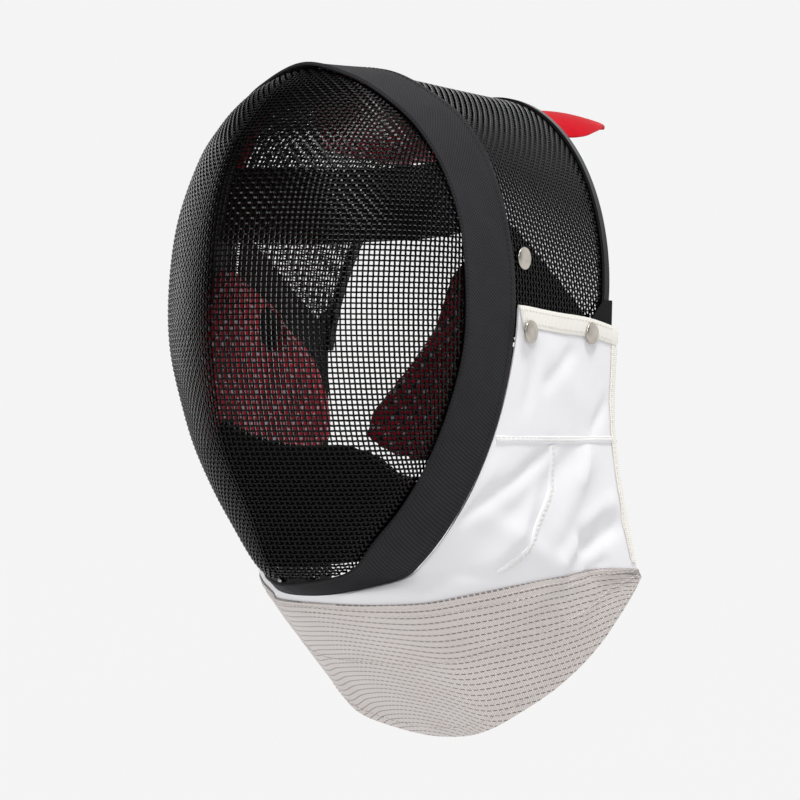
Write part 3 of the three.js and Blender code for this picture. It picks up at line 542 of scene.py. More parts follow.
def layer(name, grid, top, under, material, normals=None, sharp=50, wrap=False, painted_shade_inside=None):
    """A closed sheet over a grid, its two faces top and under millimetres outside it."""
    normals = outward(grid, wrap) if normals is None else normals
    count, rows = grid.shape[0], grid.shape[1]
    a = grid + normals * np.asarray(top)[..., None]
    b = grid + normals * np.asarray(under)[..., None]
    size = count * rows
    lines = np.arange(count if wrap else count - 1)
    i, j = (way.ravel() for way in np.meshgrid(lines, np.arange(rows - 1), indexing="ij"))
    low, high = i * rows + j, (i + 1) % count * rows + j
    faces = [
        np.stack([low, low + 1, high + 1, high], 1),
        np.stack([low, high, high + 1, low + 1], 1) + size,
    ]
    p, q = lines * rows, (lines + 1) % count * rows
    faces.append(np.stack([p, q, q + size, p + size], 1))
    p, q = p + rows - 1, q + rows - 1
    faces.append(np.stack([q, p, p + size, q + size], 1))
    if not wrap:
        p = np.arange(rows - 1)
        faces.append(np.stack([p, p + size, p + 1 + size, p + 1], 1))
        p = p + size - rows
        faces.append(np.stack([p + 1, p + 1 + size, p + size, p], 1))
    faces = np.concatenate(faces)
    points = np.concatenate([a.reshape(-1, 3), b.reshape(-1, 3)])
    c = points[faces]
    volume = (c[:, 0] * (np.cross(c[:, 1], c[:, 2]) + np.cross(c[:, 2], c[:, 3]))).sum()
    if volume < 0:
        faces = faces[:, ::-1]
    made = object_of(name, place(points), faces.tolist())
    uv = np.tile(lengths(grid).reshape(-1, 2), (2, 1))
    lay_out(made.data, uv[loop_points(made.data)])
    finished(made, material, sharp)
    # Under faces can take a second material: the bib gives them black cloth, painted shade for the
    # dark inside of the mask.
    if painted_shade_inside:
        made.data.materials.append(painted_shade_inside)
        for polygon in made.data.polygons[len(low) : 2 * len(low)]:
            polygon.material_index = 1
    return made


def ring_faces(count, sides):
    """Faces between rings of points that follow each other."""
    i, j = np.meshgrid(np.arange(count - 1), np.arange(sides), indexing="ij")
    a, b = i * sides + j, i * sides + (j + 1) % sides
    return np.stack([a, b, b + sides, a + sides], 2).reshape(-1, 4)


def tubes(lines, sides, radius):
    """Points and faces of closed tubes along lines, each of which is (centres, normals)."""
    points, faces, first = [], [], 0
    angle = (np.arange(sides) + 0.5) * 2 * math.pi / sides
    for centres, normals in lines:
        along = unit(np.gradient(centres, axis=0))
        side = unit(np.cross(along, normals))
        up = np.cross(side, along)
        ring = (
            centres[:, None]
            + up[:, None] * (np.cos(angle) * radius)[:, None]
            + side[:, None] * (np.sin(angle) * radius)[:, None]
        )
        n = len(centres)
        points.append(ring.reshape(-1, 3))
        faces.append(ring_faces(n, sides) + first)
        for base, turned in ((0, True), ((n - 1) * sides, False)):
            cap = base + np.arange(sides)
            cap = cap[::-1] if turned else cap
            if sides == 4:
                faces.append(cap[None] + first)
            else:
                fan = np.stack([np.full(sides - 2, cap[0]), cap[1:-1], cap[2:], cap[2:]], 1)
                faces.append(fan + first)
        first += n * sides
    return np.concatenate(points), np.concatenate(faces)


def tube_piece(name, lines, sides, radius, material, sharp=60):
    points, quads = tubes(lines, sides, radius)
    faces = [q[:3] if q[2] == q[3] else q for q in quads.tolist()]
    return finished(object_of(name, place(points), faces), material, sharp)


def stitch_row(path, normals, length=2.3, gap=0.9, thread=0.24):
    """Sewn stitches along a path: each is a short bow of thread whose ends dip into the cloth."""
    run = run_along(path)
    lines = []
    for start in np.arange(0.5 * gap, run[-1] - length, length + gap):
        at = start + length * np.array([0, 0.18, 0.5, 0.82, 1])
        centre, up = sampled(at, run, path), unit(sampled(at, run, normals))
        lift = thread * np.array([-1.2, 0.5, 0.9, 0.5, -1.2])
        lines.append((centre + up * lift[:, None], up))
    return lines


def stitches(name, lines, material, thread=THREAD):
    tube_piece(name, lines, 4, thread, material)


# Materials. Each pattern is worked out from a real size in millimetres.
def srgb(code):
    parts = [int(code[n : n + 2], 16) / 255 for n in (1, 3, 5)]
    return [c / 12.92 if c <= 0.04045 else ((c + 0.055) / 1.055) ** 2.4 for c in parts] + [1]


def feed(tree, socket, value):
    """Links a value that comes from a node, and sets one that doesn't."""
    if isinstance(value, bpy.types.NodeSocket):
        tree.links.new(value, socket)
    else:
        socket.default_value = value


def node(tree, kind, inputs=None, out=0, **settings):
    """Adds a node with its settings and links, and gives one of its outputs."""
    made = tree.nodes.new("ShaderNode" + kind)
    for name, value in settings.items():
        setattr(made, name, value)
    for name, value in (inputs or {}).items():
        feed(tree, made.inputs[name], value)
    return made.outputs[out]


def surface(name, colour, roughness, bump=None, height=0.2, **constants):
    """A material whose colour, roughness and bump come from builders that add nodes to its tree."""
    material = bpy.data.materials.new(name)
    material.use_nodes = True
    tree = material.node_tree
    tree.nodes.clear()
    shader = tree.nodes.new("ShaderNodeBsdfPrincipled")
    output = tree.nodes.new("ShaderNodeOutputMaterial")
    tree.links.new(shader.outputs[0], output.inputs[0])
    feed(tree, shader.inputs["Base Color"], colour(tree))
    feed(tree, shader.inputs["Roughness"], roughness(tree) if callable(roughness) else roughness)
    if bump:
        relief = node(tree, "Bump", {"Height": bump(tree), "Distance": height * MM, "Strength": 1})
        tree.links.new(relief, shader.inputs["Normal"])
    for label, value in constants.items():
        shader.inputs[label.replace("_", " ")].default_value = value
    return material


def ways_of(tree, vector):
    """The three numbers of a vector."""
    parts = tree.nodes.new("ShaderNodeSeparateXYZ")
    tree.links.new(vector, parts.inputs[0])
    return tuple(parts.outputs)


def uv_ways(tree):
    return ways_of(tree, node(tree, "UVMap", uv_map="cut"))[:2]


def calc(tree, operation, a, b=0.0, c=0.0):
    return node(tree, "Math", {0: a, 1: b, 2: c}, operation=operation)


def ribs(tree, way, spacing):
    """Even ridges across a direction, from 0 to 1, spacing in millimetres."""
    turn = calc(tree, "MULTIPLY", way, 2 * math.pi / (spacing * MM))
    return calc(tree, "MULTIPLY_ADD", calc(tree, "SINE", turn), 0.5, 0.5)


def plain_weave(tree, ways, spacing):
    """Warp over weft in a chequer, as two sets of ridges that change places."""
    u, v = ways(tree)
    a, b = ribs(tree, u, spacing), ribs(tree, v, spacing)
    both = calc(tree, "MULTIPLY", calc(tree, "SUBTRACT", a, 0.5), calc(tree, "SUBTRACT", b, 0.5))
    return calc(tree, "MULTIPLY_ADD", both, 2.0, 0.5)


def cloudy(tree, size, detail=3.0):
    """Soft variation of a size in millimetres."""
    where = node(tree, "TexCoord", out=3)
    return node(tree, "TexNoise", {"Vector": where, "Scale": 1 / (size * MM), "Detail": detail})


def shades(tree, factor, *stops):
    """A ramp of sRGB colours over a factor."""
    made = tree.nodes.new("ShaderNodeValToRGB")
    ramp = made.color_ramp
    while len(ramp.elements) < len(stops):
        ramp.elements.new(0.5)
    for element, (at, code) in zip(ramp.elements, stops):
        element.position = at
        element.color = srgb(code)
    tree.links.new(factor, made.inputs[0])
    return made.outputs[0]


def blended(tree, factor, a, b):
    made = tree.nodes.new("ShaderNodeMix")
    made.data_type = "RGBA"
    for slot, value in ((0, factor), (6, a), (7, b)):
        feed(tree, made.inputs[slot], value)
    return made.outputs[2]


def grain(size):
    return lambda tree: cloudy(tree, size)


def mottled(size, low, high):
    """Two colours that change softly over a size in millimetres."""
    return lambda tree: shades(tree, cloudy(tree, size), (0.3, low), (0.7, high))


def uneven(size, spread, least):
    """A value that varies softly over a size in millimetres."""
    return lambda tree: calc(tree, "MULTIPLY_ADD", cloudy(tree, size), spread, least)


# Steel wire drawn round, woven and dipped in black enamel: smooth, thinner on the crests.
def wire_colour(tree):
    stops = (0.35, "#030303"), (0.6, "#060606"), (0.75, "#0b0a0a")
    return shades(tree, cloudy(tree, 9, 2), *stops)


enamelled_wire = surface(
    "enamelled_woven_steel_wire",
    wire_colour,
    uneven(5, 0.12, 0.16),
    Specular_IOR_Level=0.16,
)


# Polyester webbing woven tight on a narrow loom: a fine grid of ribs, dark grey on the crests.
def webbing_weave(tree):
    return plain_weave(tree, uv_ways, 2.2)


def webbing_colour(tree):
    threads = shades(tree, webbing_weave(tree), (0.2, "#111113"), (0.8, "#38383b"))
    return blended(tree, 0.4, threads, mottled(14, "#19191b", "#262628")(tree))


polyester_webbing = surface(
    "woven_polyester_webbing",
    webbing_colour,
    0.72,
    webbing_weave,
    0.25,
    Specular_IOR_Level=0.2,
)

# Sheet steel folded over the edge and painted satin black: even, with a soft broad highlight.
painted_steel = surface(
    "satin_painted_folded_steel",
    mottled(30, "#0e0e10", "#161618"),
    uneven(3, 0.12, 0.34),
    grain(1.5),
    0.02,
    Specular_IOR_Level=0.2,
)

# Soft PVC moulded over a spring leaf: saturated red with a soft sheen and faint flow marks.
moulded_red = surface(
    "moulded_gloss_pvc",
    mottled(25, "#b6000f", "#c6001c"),
    uneven(6, 0.12, 0.5),
    grain(12),
    0.1,
    Specular_IOR_Level=0.03,
)


# White polyester cloth, plain woven, softly matt: 0.5 mm threads, drawn at 1.1 mm to show.
def white_weave(tree):
    fine = plain_weave(tree, uv_ways, 1.1)
    return calc(tree, "MULTIPLY_ADD", cloudy(tree, 2.5, 4), 0.6, calc(tree, "MULTIPLY", fine, 0.4))


white_cloth = surface(
    "plain_woven_white_polyester",
    lambda tree: blended(
        tree,
        0.4,
        shades(tree, plain_weave(tree, uv_ways, 1.1), (0.2, "#e6e6e9"), (0.8, "#f6f5f7")),
        mottled(40, "#eeedf0", "#f4f3f5")(tree),
    ),
    0.85,
    white_weave,
    0.1,
    Sheen_Weight=0.15,
    Sheen_Roughness=0.5,
)


# Knit of silvered thread: upright ribs 1.25 mm apart, with darker dotted courses every 5.2 mm.
def knit_relief(tree):
    u, v = uv_ways(tree)
    return calc(tree, "MULTIPLY_ADD", ribs(tree, v, 1.6), 0.35, ribs(tree, u, 1.25))


def knit_colour(tree):
    u, v = uv_ways(tree)
    drift = calc(tree, "MULTIPLY", cloudy(tree, 60, 1), 0.003)
    course = ribs(tree, calc(tree, "ADD", v, drift), 5.2)
    line = calc(tree, "GREATER_THAN", course, 0.9)
    dots = calc(tree, "GREATER_THAN", ribs(tree, u, 3.6), 0.2)
    dark = calc(tree, "MULTIPLY", line, dots)
    thread = shades(tree, ribs(tree, u, 1.25), (0.1, "#bab0ac"), (0.55, "#e2dad7"), (1, "#eee7e4"))
    clouds = shades(tree, cloudy(tree, 35), (0.35, "#d4cbc7"), (0.65, "#e4ddd9"))
    cloth = blended(tree, 0.35, thread, clouds)
    return blended(tree, calc(tree, "MULTIPLY", dark, 0.85), cloth, srgb("#6a625e"))


silvered_knit = surface(
    "ribbed_knit_of_silvered_thread",
    knit_colour,
    uneven(6, 0.2, 0.42),
    knit_relief,
    0.18,
    Metallic=0.3,
    Sheen_Weight=0.15,
)


# Cream polyester tape, woven across in ribs 1.3 mm apart, folded over the edge and sewn flat.
def tape_ribs(tree):
    return ribs(tree, uv_ways(tree)[0], 1.3)


cream_tape = surface(
    "ribbed_cream_tape",
    lambda tree: shades(tree, tape_ribs(tree), (0.1, "#ebe7dd"), (0.7, "#faf8f2")),
    0.8,
    tape_ribs,
    0.12,
)


# Cotton cloth printed with small staggered diamonds and dots, over foam: matt, slightly napped.
def print_marks(tree, pitch, low, shift):
    """Marks in a staggered row pattern, pitch millimetres apart."""
    a, b = uv_ways(tree)
    slant = calc(tree, "MULTIPLY", calc(tree, "ADD", a, b), 0.7071)
    other = calc(tree, "MULTIPLY", calc(tree, "SUBTRACT", a, b), 0.7071)
    one = ribs(tree, calc(tree, "ADD", slant, shift * MM), pitch)
    two = ribs(tree, other, pitch)
    return calc(tree, "GREATER_THAN", calc(tree, "MULTIPLY", one, two), low)


def print_colour(tree):
    ground = shades(tree, cloudy(tree, 22), (0.35, "#8a0a1e"), (0.65, "#bd1330"))
    pale = blended(tree, print_marks(tree, 7, 0.66, 0), ground, srgb("#b9b4c2"))
    return blended(tree, print_marks(tree, 7, 0.66, 3.5), pale, srgb("#1d1a20"))


printed_cotton = surface(
    "printed_cotton_over_foam",
    print_colour,
    0.86,
    lambda tree: plain_weave(tree, uv_ways, 1.2),
    0.1,
    Specular_IOR_Level=0.2,
)


# Black polyester cloth in a fine twill: very matt, faintly paler on the threads' crests.
def twill(tree):
    """Slanted ribs over the piece's own second and third axes."""
    return ribs(tree, calc(tree, "ADD", *ways_of(tree, node(tree, "TexCoord", out=3))[1:]), 1.4)


black_cloth = surface(
    "black_twill_polyester",
    lambda tree: shades(tree, twill(tree), (0.2, "#0a0a0b"), (0.8, "#161618")),
    0.85,
    twill,
    0.12,
    Specular_IOR_Level=0.2,
)

# Brass caps pressed and plated with satin nickel: warm grey metal with fine polishing marks.
satin_nickel = surface(
    "satin_nickel_plate",
    mottled(5, "#b5afa6", "#cbc5bb"),
    uneven(0.8, 0.16, 0.26),
    grain(0.7),
    0.01,
    Metallic=1.0,
)


# Spun polyester sewing thread, 0.5 to 0.6 mm thick: fuzzy and matt.
def spun_thread(colour, low, high, roughness):
    return surface(f"spun_{colour}_thread", mottled(1.5, low, high), roughness, grain(0.5), 0.05)


white_thread = spun_thread("white", "#e0ddd6", "#f4f2ec", 0.8)
black_thread = spun_thread("black", "#0d0d0f", "#1a1a1d", 0.7)
grey_thread = spun_thread("grey", "#d3ccc8", "#e9e3e0", 0.75)

# Studio paper, matt; a glow of its own keeps it even and pale.
pale_paper = surface(
    "matt_studio_paper",
    mottled(900, "#0a0a0a", "#0b0b0b"),
    0.95,
    Specular_IOR_Level=0.0,
    Emission_Color=(1, 1, 1, 1),
    Emission_Strength=0.905,
)


# Woven wire. Two sets of wires cross every WIRE_PITCH and pass over and under each other.
def wire_lines(places, normals, phase):
    """Wires along the second way of a grid of crossings; gaps in the grid are NaN."""
    lines = []
    for i in range(places.shape[0]):
        here = np.flatnonzero(~np.isnan(places[i, :, 0]))
        if len(here) < 2:
            continue
        for run in np.split(here, np.flatnonzero(np.diff(here) > 1) + 1):
            if len(run) < 2:
                continue
            sign = np.where((run + i + phase) % 2 == 0, 1.0, -1.0)[:, None]
            knots, ways = places[i, run], normals[i, run]
            line = np.empty((2 * len(run) - 1, 3))
            up = np.empty_like(line)
            line[0::2] = knots + ways * sign * WIRE_WAVE
            line[1::2] = (knots[1:] + knots[:-1]) / 2
            up[0::2] = ways
            up[1::2] = unit(ways[1:] + ways[:-1])
            lines.append((line, up))
    return lines


def grid_normals(places):
    """Normals of a grid of crossings with gaps, away from the middle of the mask."""

    def slope(axis):
        ahead = np.roll(places, -1, axis)
        behind = np.roll(places, 1, axis)
        edge = [slice(None)] * 3
        edge[axis] = -1
        ahead[tuple(edge)] = np.nan
        edge[axis] = 0
        behind[tuple(edge)] = np.nan
        ahead = np.where(np.isnan(ahead), places, ahead)
        behind = np.where(np.isnan(behind), places, behind)
        return ahead - behind

    normals = np.cross(slope(0), slope(1))
    size = np.linalg.norm(normals, axis=2, keepdims=True)
    away = places - np.array([0, 70, 0])
    away[..., 2] *= 0.3
    normals = np.where(size > 1e-9, normals / np.maximum(size, 1e-9), unit(away))
    return np.where((normals * away).sum(2, keepdims=True) < 0, -normals, normals)


def face_crossings():
    heights = np.linspace(-0.52, 0.49, 800) * FACE_HEIGHT
    ridge = np.array([[crease_reach(z), z] for z in heights])
    run = run_along(ridge)
    levels = np.interp(np.arange(0, run[-1], WIRE_PITCH), run, heights)
    bows = np.linspace(0, math.pi / 2, 260)
    half = 60
    places = np.full((len(levels), 2 * half + 1, 3), np.nan)
    for i, z in enumerate(levels):
        turn = turn_at(seam, z)
        edge = np.array(seam(turn))
        x = np.sin(bows) ** (2 / CREASE_POWER) * edge[0]
        y = mix(edge[1], crease_reach(z), np.cos(bows) ** (2 * SIDE_POWER))
        section = np.stack([x, y, np.full_like(x, z)], 1)
        under_band = unit(np.array(outer(turn)) - edge) * WIRE_PITCH
        section = np.concatenate([section, [edge + under_band * [1, 1, 0.3]]])
        along = run_along(section)
        count = min(half, int(along[-1] / WIRE_PITCH))
        spots = sampled(np.arange(count + 1) * WIRE_PITCH, along, section)
        places[i, half : half + count + 1] = spots
        places[i, half - count : half + 1] = (spots * [-1, 1, 1])[::-1]
    return places


def crown_crossings():
    reach = int(arch_run[-1] / WIRE_PITCH)
    depths = np.arange(CROWN_WIRES_FRONT, RIM_TOP_BACK + 2, WIRE_PITCH)
    places = np.full((2 * reach + 1, len(depths), 3), np.nan)
    for j in range(-reach, reach + 1):
        edge, rear = crown_line(j / reach)
        share = (depths - edge[1]) / (rear[1] - edge[1])
        inside = (share > -0.06) & (share < 1.001)
        places[j + reach, inside] = edge + (rear - edge) * share[inside, None]
    return places


for label, crossings, solid_name in (
    ("face", face_crossings(), "front_mesh"),
    ("crown", crown_crossings(), "crown_mesh"),
):
    ways = grid_normals(crossings)
    centre = crossings - ways * WIRE_DEPTH
    sets = {
        "_wires_across": wire_lines(centre, ways, 0),
        "_wires_down": wire_lines(centre.swapaxes(0, 1), ways.swapaxes(0, 1), 1),
    }
    for word, lines in sets.items():
        wires = tube_piece(label + word, lines, WIRE_SIDES, WIRE_RADIUS, enamelled_wire, 80)
        if word == "_wires_across":
            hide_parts(solid_name)


# Band of webbing over the seam, its inner edge turned over a cord and its outer edge sewn.
def band_grid(count, widths):
    grid = []
    for n in range(count):
        turn = (2 * n / count - 1) * LAST_TURN
        lap = BAND_LAP * smooth((LAST_TURN - abs(turn)) / 3)
        line = [strip(turn, w) - np.array([0, lap * (1 - smooth(w / 0.12)), 0]) for w in widths]
        grid.append(line)
    return np.array(grid)


BAND_WIDTHS = np.array([0, 0.03, 0.07, 0.12, 0.2, 0.3, 0.42, 0.54, 0.66, 0.78, 0.88, 0.94, 0.98, 1])
band = band_grid(BAND_STATIONS, BAND_WIDTHS)
band_up = outward(band, True)
rounded = 1 - 0.45 * (np.exp(-BAND_WIDTHS / 0.02) + np.exp((BAND_WIDTHS - 1) / 0.02))
dip = 0.45 * np.exp(-(((BAND_WIDTHS - BAND_SEWN_AT) / 0.035) ** 2))
swell = 0.25 * np.sin(np.linspace(0, math.pi, len(BAND_WIDTHS)))
top = BAND_STANDOFF + BAND_THICKNESS * rounded - dip + swell
webbing = layer("band_webbing", band, top, BAND_STANDOFF, polyester_webbing, band_up, wrap=True)
stands_for("face_band")


def loop_line(width, lift):
    """A closed line round the band at a share of its width, lifted off it."""
    path = np.array([sampled(width, BAND_WIDTHS, row) for row in band])
    up = unit(np.array([sampled(width, BAND_WIDTHS, row) for row in band_up]))
    path = path + up * lift
    return np.concatenate([path, path[:1]]), np.concatenate([up, up[:1]])


cord = loop_line(0.035, BAND_STANDOFF + BAND_THICKNESS * 0.62)
tube_piece("band_piping", [cord], 8, PIPING, polyester_webbing)
band_seam = loop_line(BAND_SEWN_AT, BAND_STANDOFF + BAND_THICKNESS - 0.2)
stitches("band_stitches", stitch_row(*band_seam), black_thread)

# Trim of folded steel over the rear edge of the crown mesh.
ends = [crown_line(r) for r in np.linspace(-1, 1, 161)]
rear_edge = np.array([rear for _, rear in ends])
rear_way = unit(np.array([rear - edge for edge, rear in ends]))
rear_run = np.gradient(rear_edge, axis=0)
rear_out = unit(np.cross(rear_run, rear_way))
rear_out *= np.sign((rear_out * (rear_edge - [0, 160, 0])).sum(1))[:, None]
profile = (
    (RIM_OUTSIDE - RIM_LEAF, -5),
    (RIM_OUTSIDE, -4.6),
    (RIM_OUTSIDE, 1),
    (RIM_OUTSIDE - 0.5, 1.6),
    (RIM_OUTSIDE - 1.1, 1.8),
    (RIM_INSIDE + 1.1, 1.8),
    (RIM_INSIDE + 0.5, 1.6),
    (RIM_INSIDE, 1),
    (RIM_INSIDE, -4.6),
    (RIM_INSIDE + RIM_LEAF, -5),
    (RIM_INSIDE + RIM_LEAF, 0.3),
    (RIM_OUTSIDE - RIM_LEAF, 0.3),
)
rings = np.stack([rear_edge + rear_out * out + rear_way * back for out, back in profile], 1)
sides = rings.shape[1]
rim_faces = ring_faces(len(rings), sides)[:, [0, 3, 2, 1]].tolist()
rim_faces += [list(range(sides))[::-1], [(len(rings) - 1) * sides + n for n in range(sides)]]
trim = faced_out(object_of("rear_trim", place(rings.reshape(-1, 3)), rim_faces))
finished(trim, painted_steel, 35)
stands_for("rear_rim")

# Tongue: a leaf with a soft spine down its middle and thin edges.
us = np.linspace(-1, 1, 41)
vs = np.linspace(0, 1, 81)
leaf = np.zeros((len(us), len(vs), 3))
for n, v in enumerate(vs):
    x = us * column(TONGUE, "half", v, "at") * TONGUE_WIDTH
    leaf[:, n, 0] = x
    leaf[:, n, 1] = TONGUE_TIP_BACK - TONGUE_LENGTH * (1 - v)
    rise = TONGUE_LEVEL + TONGUE_RISE * column(TONGUE, "rise", v, "at")
    leaf[:, n, 2] = rise - TONGUE_ARCH * (2 * x / TONGUE_WIDTH) ** 2
leaf_up = unit(np.cross(np.gradient(leaf, axis=0), np.gradient(leaf, axis=1)))
thin = 0.8 * (np.abs(us) ** 6)[:, None] * np.ones(len(vs))
under = -TONGUE_THICKNESS + 1.2 * thin
tongue = layer("tongue_leaf", leaf, -0.5 * thin, under, moulded_red, leaf_up, 40)
stands_for("tongue")

# Bib of white cloth, the silvered panel over its lower part and the tape on its free edges.
bib_rounds = np.linspace(-1, 1, 241)
bib_downs = np.linspace(0, 3, 91)
drape = bib_grid(bib_rounds, bib_downs)
drape_up = outward(drape)
# The bib is white cloth, but its inner faces take black cloth: painted shade for the dark inside of
# the chin.
cloth = layer("bib_cloth", drape, 0, -BIB_CLOTH, white_cloth, drape_up, painted_shade_inside=black_cloth)
stands_for("bib")

lower = drape[:, PANEL_START:]
lower_up = drape_up[:, PANEL_START:]
knit = layer("panel_knit", lower, PANEL_TOP, PANEL_UNDER, silvered_knit, lower_up)
stands_for("bib_panel")

TAPE_DOWN = TAPE_TOP_WIDTH / (FACE_HEIGHT * (BIB_TOP["z"][3] - BIB["mid_z"][10]))
TAPE_START = TAPE_START_SHARE * TAPE_DOWN
TAPE_ROUND = TAPE_WIDTH * (1 - BIB_CORNER) / (FACE_DEPTH * (BIB_TOP["y"][3] - BIB_TOP["y"][0]))
for side, word in ((1, "left"), (-1, "right")):
    top_tape = bib_grid(side * np.linspace(BIB_CORNER, 1, 40), TAPE_DOWN * np.linspace(0, 1, 7))
    rear_tape = bib_grid(
        side * (1 - TAPE_ROUND * np.linspace(0, 1, 7)),
        np.linspace(TAPE_START, TAPE_END_SHARE, 80),
    ).swapaxes(0, 1)
    for label, grid in (("top", top_tape), ("rear", rear_tape)):
        crowned = 0.9 + 0.5 * np.sin(np.linspace(0, math.pi, grid.shape[1])) ** 0.5
        made = layer(f"tape_{label}_{word}", grid, crowned, 0.5, cream_tape)
        stands_for(f"binding_{label}_{word}")


def on_bib(spots, side):
    """Points and normals of the bib at places of the side view, in shares."""
    half = drape[:, :, 0] * side > 5
    near, ways = drape[half], drape_up[half]
    found, up = [], []
    for y, z in spots:
        d = (near[:, 1] - y * FACE_DEPTH) ** 2 + (near[:, 2] - z * FACE_HEIGHT) ** 2
        best = np.argsort(d)[:6]
        weight = 1 / (d[best] + 0.3)
        weight /= weight.sum()
        found.append([(weight * near[best, 0]).sum(), y * FACE_DEPTH, z * FACE_HEIGHT])
        up.append((weight[:, None] * ways[best]).sum(0))
    return np.array(found), unit(np.array(up))


def evenly(corners, step):
    """A path through corner points of the side view, rounded and evenly divided."""
    corners = np.array(corners, float)
    run = run_along(corners * [FACE_DEPTH, FACE_HEIGHT])
    return sampled(np.linspace(0, run[-1], max(3, int(run[-1] / step))), run, corners)


def relaxed(values, turns=3):
    """Values along a path, evened out while its ends stay."""
    for _ in range(turns):
        between = (values[:-2] + values[1:-1] + values[2:]) / 3
        values = np.concatenate([values[:1], between, values[-1:]])
    return values


# Seams of the bib, felled and sewn down: a level one under the cheeks and one that falls from it.
LEVEL_SEAM = ((0.34, -0.243), (0.7, -0.245), (1.0, -0.247), (1.42, -0.248))
FALLING_SEAM = ((0.756, -0.256), (0.778, -0.342), (0.702, -0.38))
FALLING_SEAM += ((0.638, -0.417), (0.575, -0.467), (0.45, -0.506))
bib_thread = []
for side in (1, -1):
    for label, corners in (("level", LEVEL_SEAM), ("falling", FALLING_SEAM)):
        middle, up = on_bib(evenly(corners, 2.5), side)
        middle, up = relaxed(middle), unit(relaxed(up))
        over = unit(np.cross(np.gradient(middle, axis=0), up))
        widths = np.linspace(-SEAM_HALF_WIDTH, SEAM_HALF_WIDTH, 5)
        grid = middle[:, None] + over[:, None] * widths[None, :, None]
        lap = layer(
            f"seam_{label}_" + ("left" if side > 0 else "right"),
            grid,
            [-0.1, 0.7, 0.9, 1.2, 0.05],
            -0.4,
            white_cloth,
            np.repeat(up[:, None], 5, 1),
            80,
        )
        bib_thread += stitch_row(middle + over * 0.2 + up * 1.0, up)
        bib_thread += stitch_row(middle - over * 1.4 + up * 0.6, up)
stitches("bib_stitches", bib_thread, white_thread)

# Stitches that hold the panel and the tape.
panel_thread = []
for down in PANEL_STITCH_ROWS:
    row = bib_grid(np.linspace(-0.99, 0.99, 241), [down - 0.02, down, down + 0.02])
    up = outward(row)
    panel_thread += stitch_row(row[:, 1] + up[:, 1] * PANEL_STITCH_HEIGHT, up[:, 1], 2.6, 1.2)
stitches("panel_stitches", panel_thread, grey_thread, PANEL_THREAD)
tape_thread = []
for side in (1, -1):
    downs = TAPE_DOWN * np.array([0.1, 0.2, 0.8, 0.9])
    grid = bib_grid(side * np.linspace(BIB_CORNER, 0.985, 60), downs)
    up = outward(grid)
    for n in (1, 2):
        tape_thread += stitch_row(grid[:, n] + up[:, n] * 1.25, up[:, n], 2.2, 1)
    rounds = side * (1 - TAPE_ROUND * np.array([0.6, 0.8, 0.95]))
    grid = bib_grid(rounds, np.linspace(1.15 * TAPE_DOWN, 1.88, 90))
    up = outward(grid)
    tape_thread += stitch_row(grid[1] + up[1] * 1.2, up[1], 2.2, 1)
stitches("tape_stitches", tape_thread, grey_thread)


def cut_panels(mesh):
    """A UV map in metres: each part of the cover is laid flat along the way that it faces most."""
    points = values_of(mesh.vertices, "co", 3)
    facing = values_of(mesh.polygons, "normal", 3)
    sizes = values_of(mesh.polygons, "loop_total", 1, np.int32)
    most = np.repeat(np.abs(facing).argmax(1), sizes)
    ways = np.array([[1, 2], [0, 2], [0, 1]])[most]
    lay_out(mesh, np.take_along_axis(points[loop_points(mesh)], ways, 1))


# Stuffed pieces: a copy of the solid, remeshed and blown up a little under its cloth.
def stuffed(source, name, material, voxel, slack, cap):
    made = linked(name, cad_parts[source].data.copy())
    bpy.ops.object.mode_set(mode="EDIT")
    bpy.ops.mesh.select_all(action="SELECT")
    bpy.ops.mesh.remove_doubles(threshold=1e-5)
    bpy.ops.object.mode_set(mode="OBJECT")
    applied(made, "voxels", "REMESH", mode="VOXEL", voxel_size=voxel * MM)
    applied(made, "slack", "DISPLACE", mid_level=0, strength=-slack * MM)
    before = values_of(made.data.vertices, "co", 3)
    settings = made.modifiers.new("blown", "CLOTH").settings
    settings.use_pressure = True
    settings.uniform_pressure_force = PRESSURE
    settings.effector_weights.gravity = 0
    for step in range(1, PRESSURE_FRAMES + 1):
        bpy.context.scene.frame_set(step)
    alone(made)
    bpy.ops.object.modifier_apply(modifier="blown")
    move = values_of(made.data.vertices, "co", 3) - before
    far = np.linalg.norm(move, axis=1, keepdims=True)
    move *= np.minimum(1, cap * MM / np.maximum(far, 1e-9))
    made.data.vertices.foreach_set("co", (before + move).ravel())
    made.data.update()
    bpy.context.scene.frame_set(1)
    applied(made, "finer", "SUBSURF", levels=1, render_levels=1)
    cut_panels(made.data)
    finished(made, material, 60)
    stands_for(source)


for word in ("left", "right"):
    cushion = f"cheek_cushion_{word}"
    stuffed(f"cheek_pad_{word}", cushion, printed_cotton, 4, 0.8, 1.6)
stuffed("crown_pad", "crown_cushion", printed_cotton, 4, 0.8, 2)
stuffed("brow_pad", "brow_roll", printed_cotton, 3, 0.4, 1)
stuffed("chin_pad", "chin_lining", black_cloth, 3, 0.4, 0.8)

# Head strap across the inside, two layers of cloth with bound edges.
strap_grid = []
for u in np.linspace(-1, 1, 61):
    line = []
    for v in np.linspace(0, 1, 13):
        z = STRAP_BOTTOM + STRAP_HEIGHT * v
        half = wall(STRAP_FRONT, z) - STRAP_STANDOFF
        line.append([u * half, mix(STRAP_BACK, STRAP_FRONT, abs(u) ** STRAP_BOW_POWER), z])
    strap_grid.append(line)
strap_grid = np.array(strap_grid)
strap_up = unit(np.cross(np.gradient(strap_grid, axis=0), np.gradient(strap_grid, axis=1)))
if strap_up[30, 6, 1] > 0:
    strap_up = -strap_up
bound = 0.35 * np.exp(-(((np.linspace(0, 1, 13) - 0.5) ** 2 - 0.25) ** 2) / 0.004)
strap_under = -STRAP_CLOTH - bound
strap = layer("head_strap", strap_grid, bound + 0.2, strap_under, black_cloth, strap_up)
stands_for("forehead_strap")

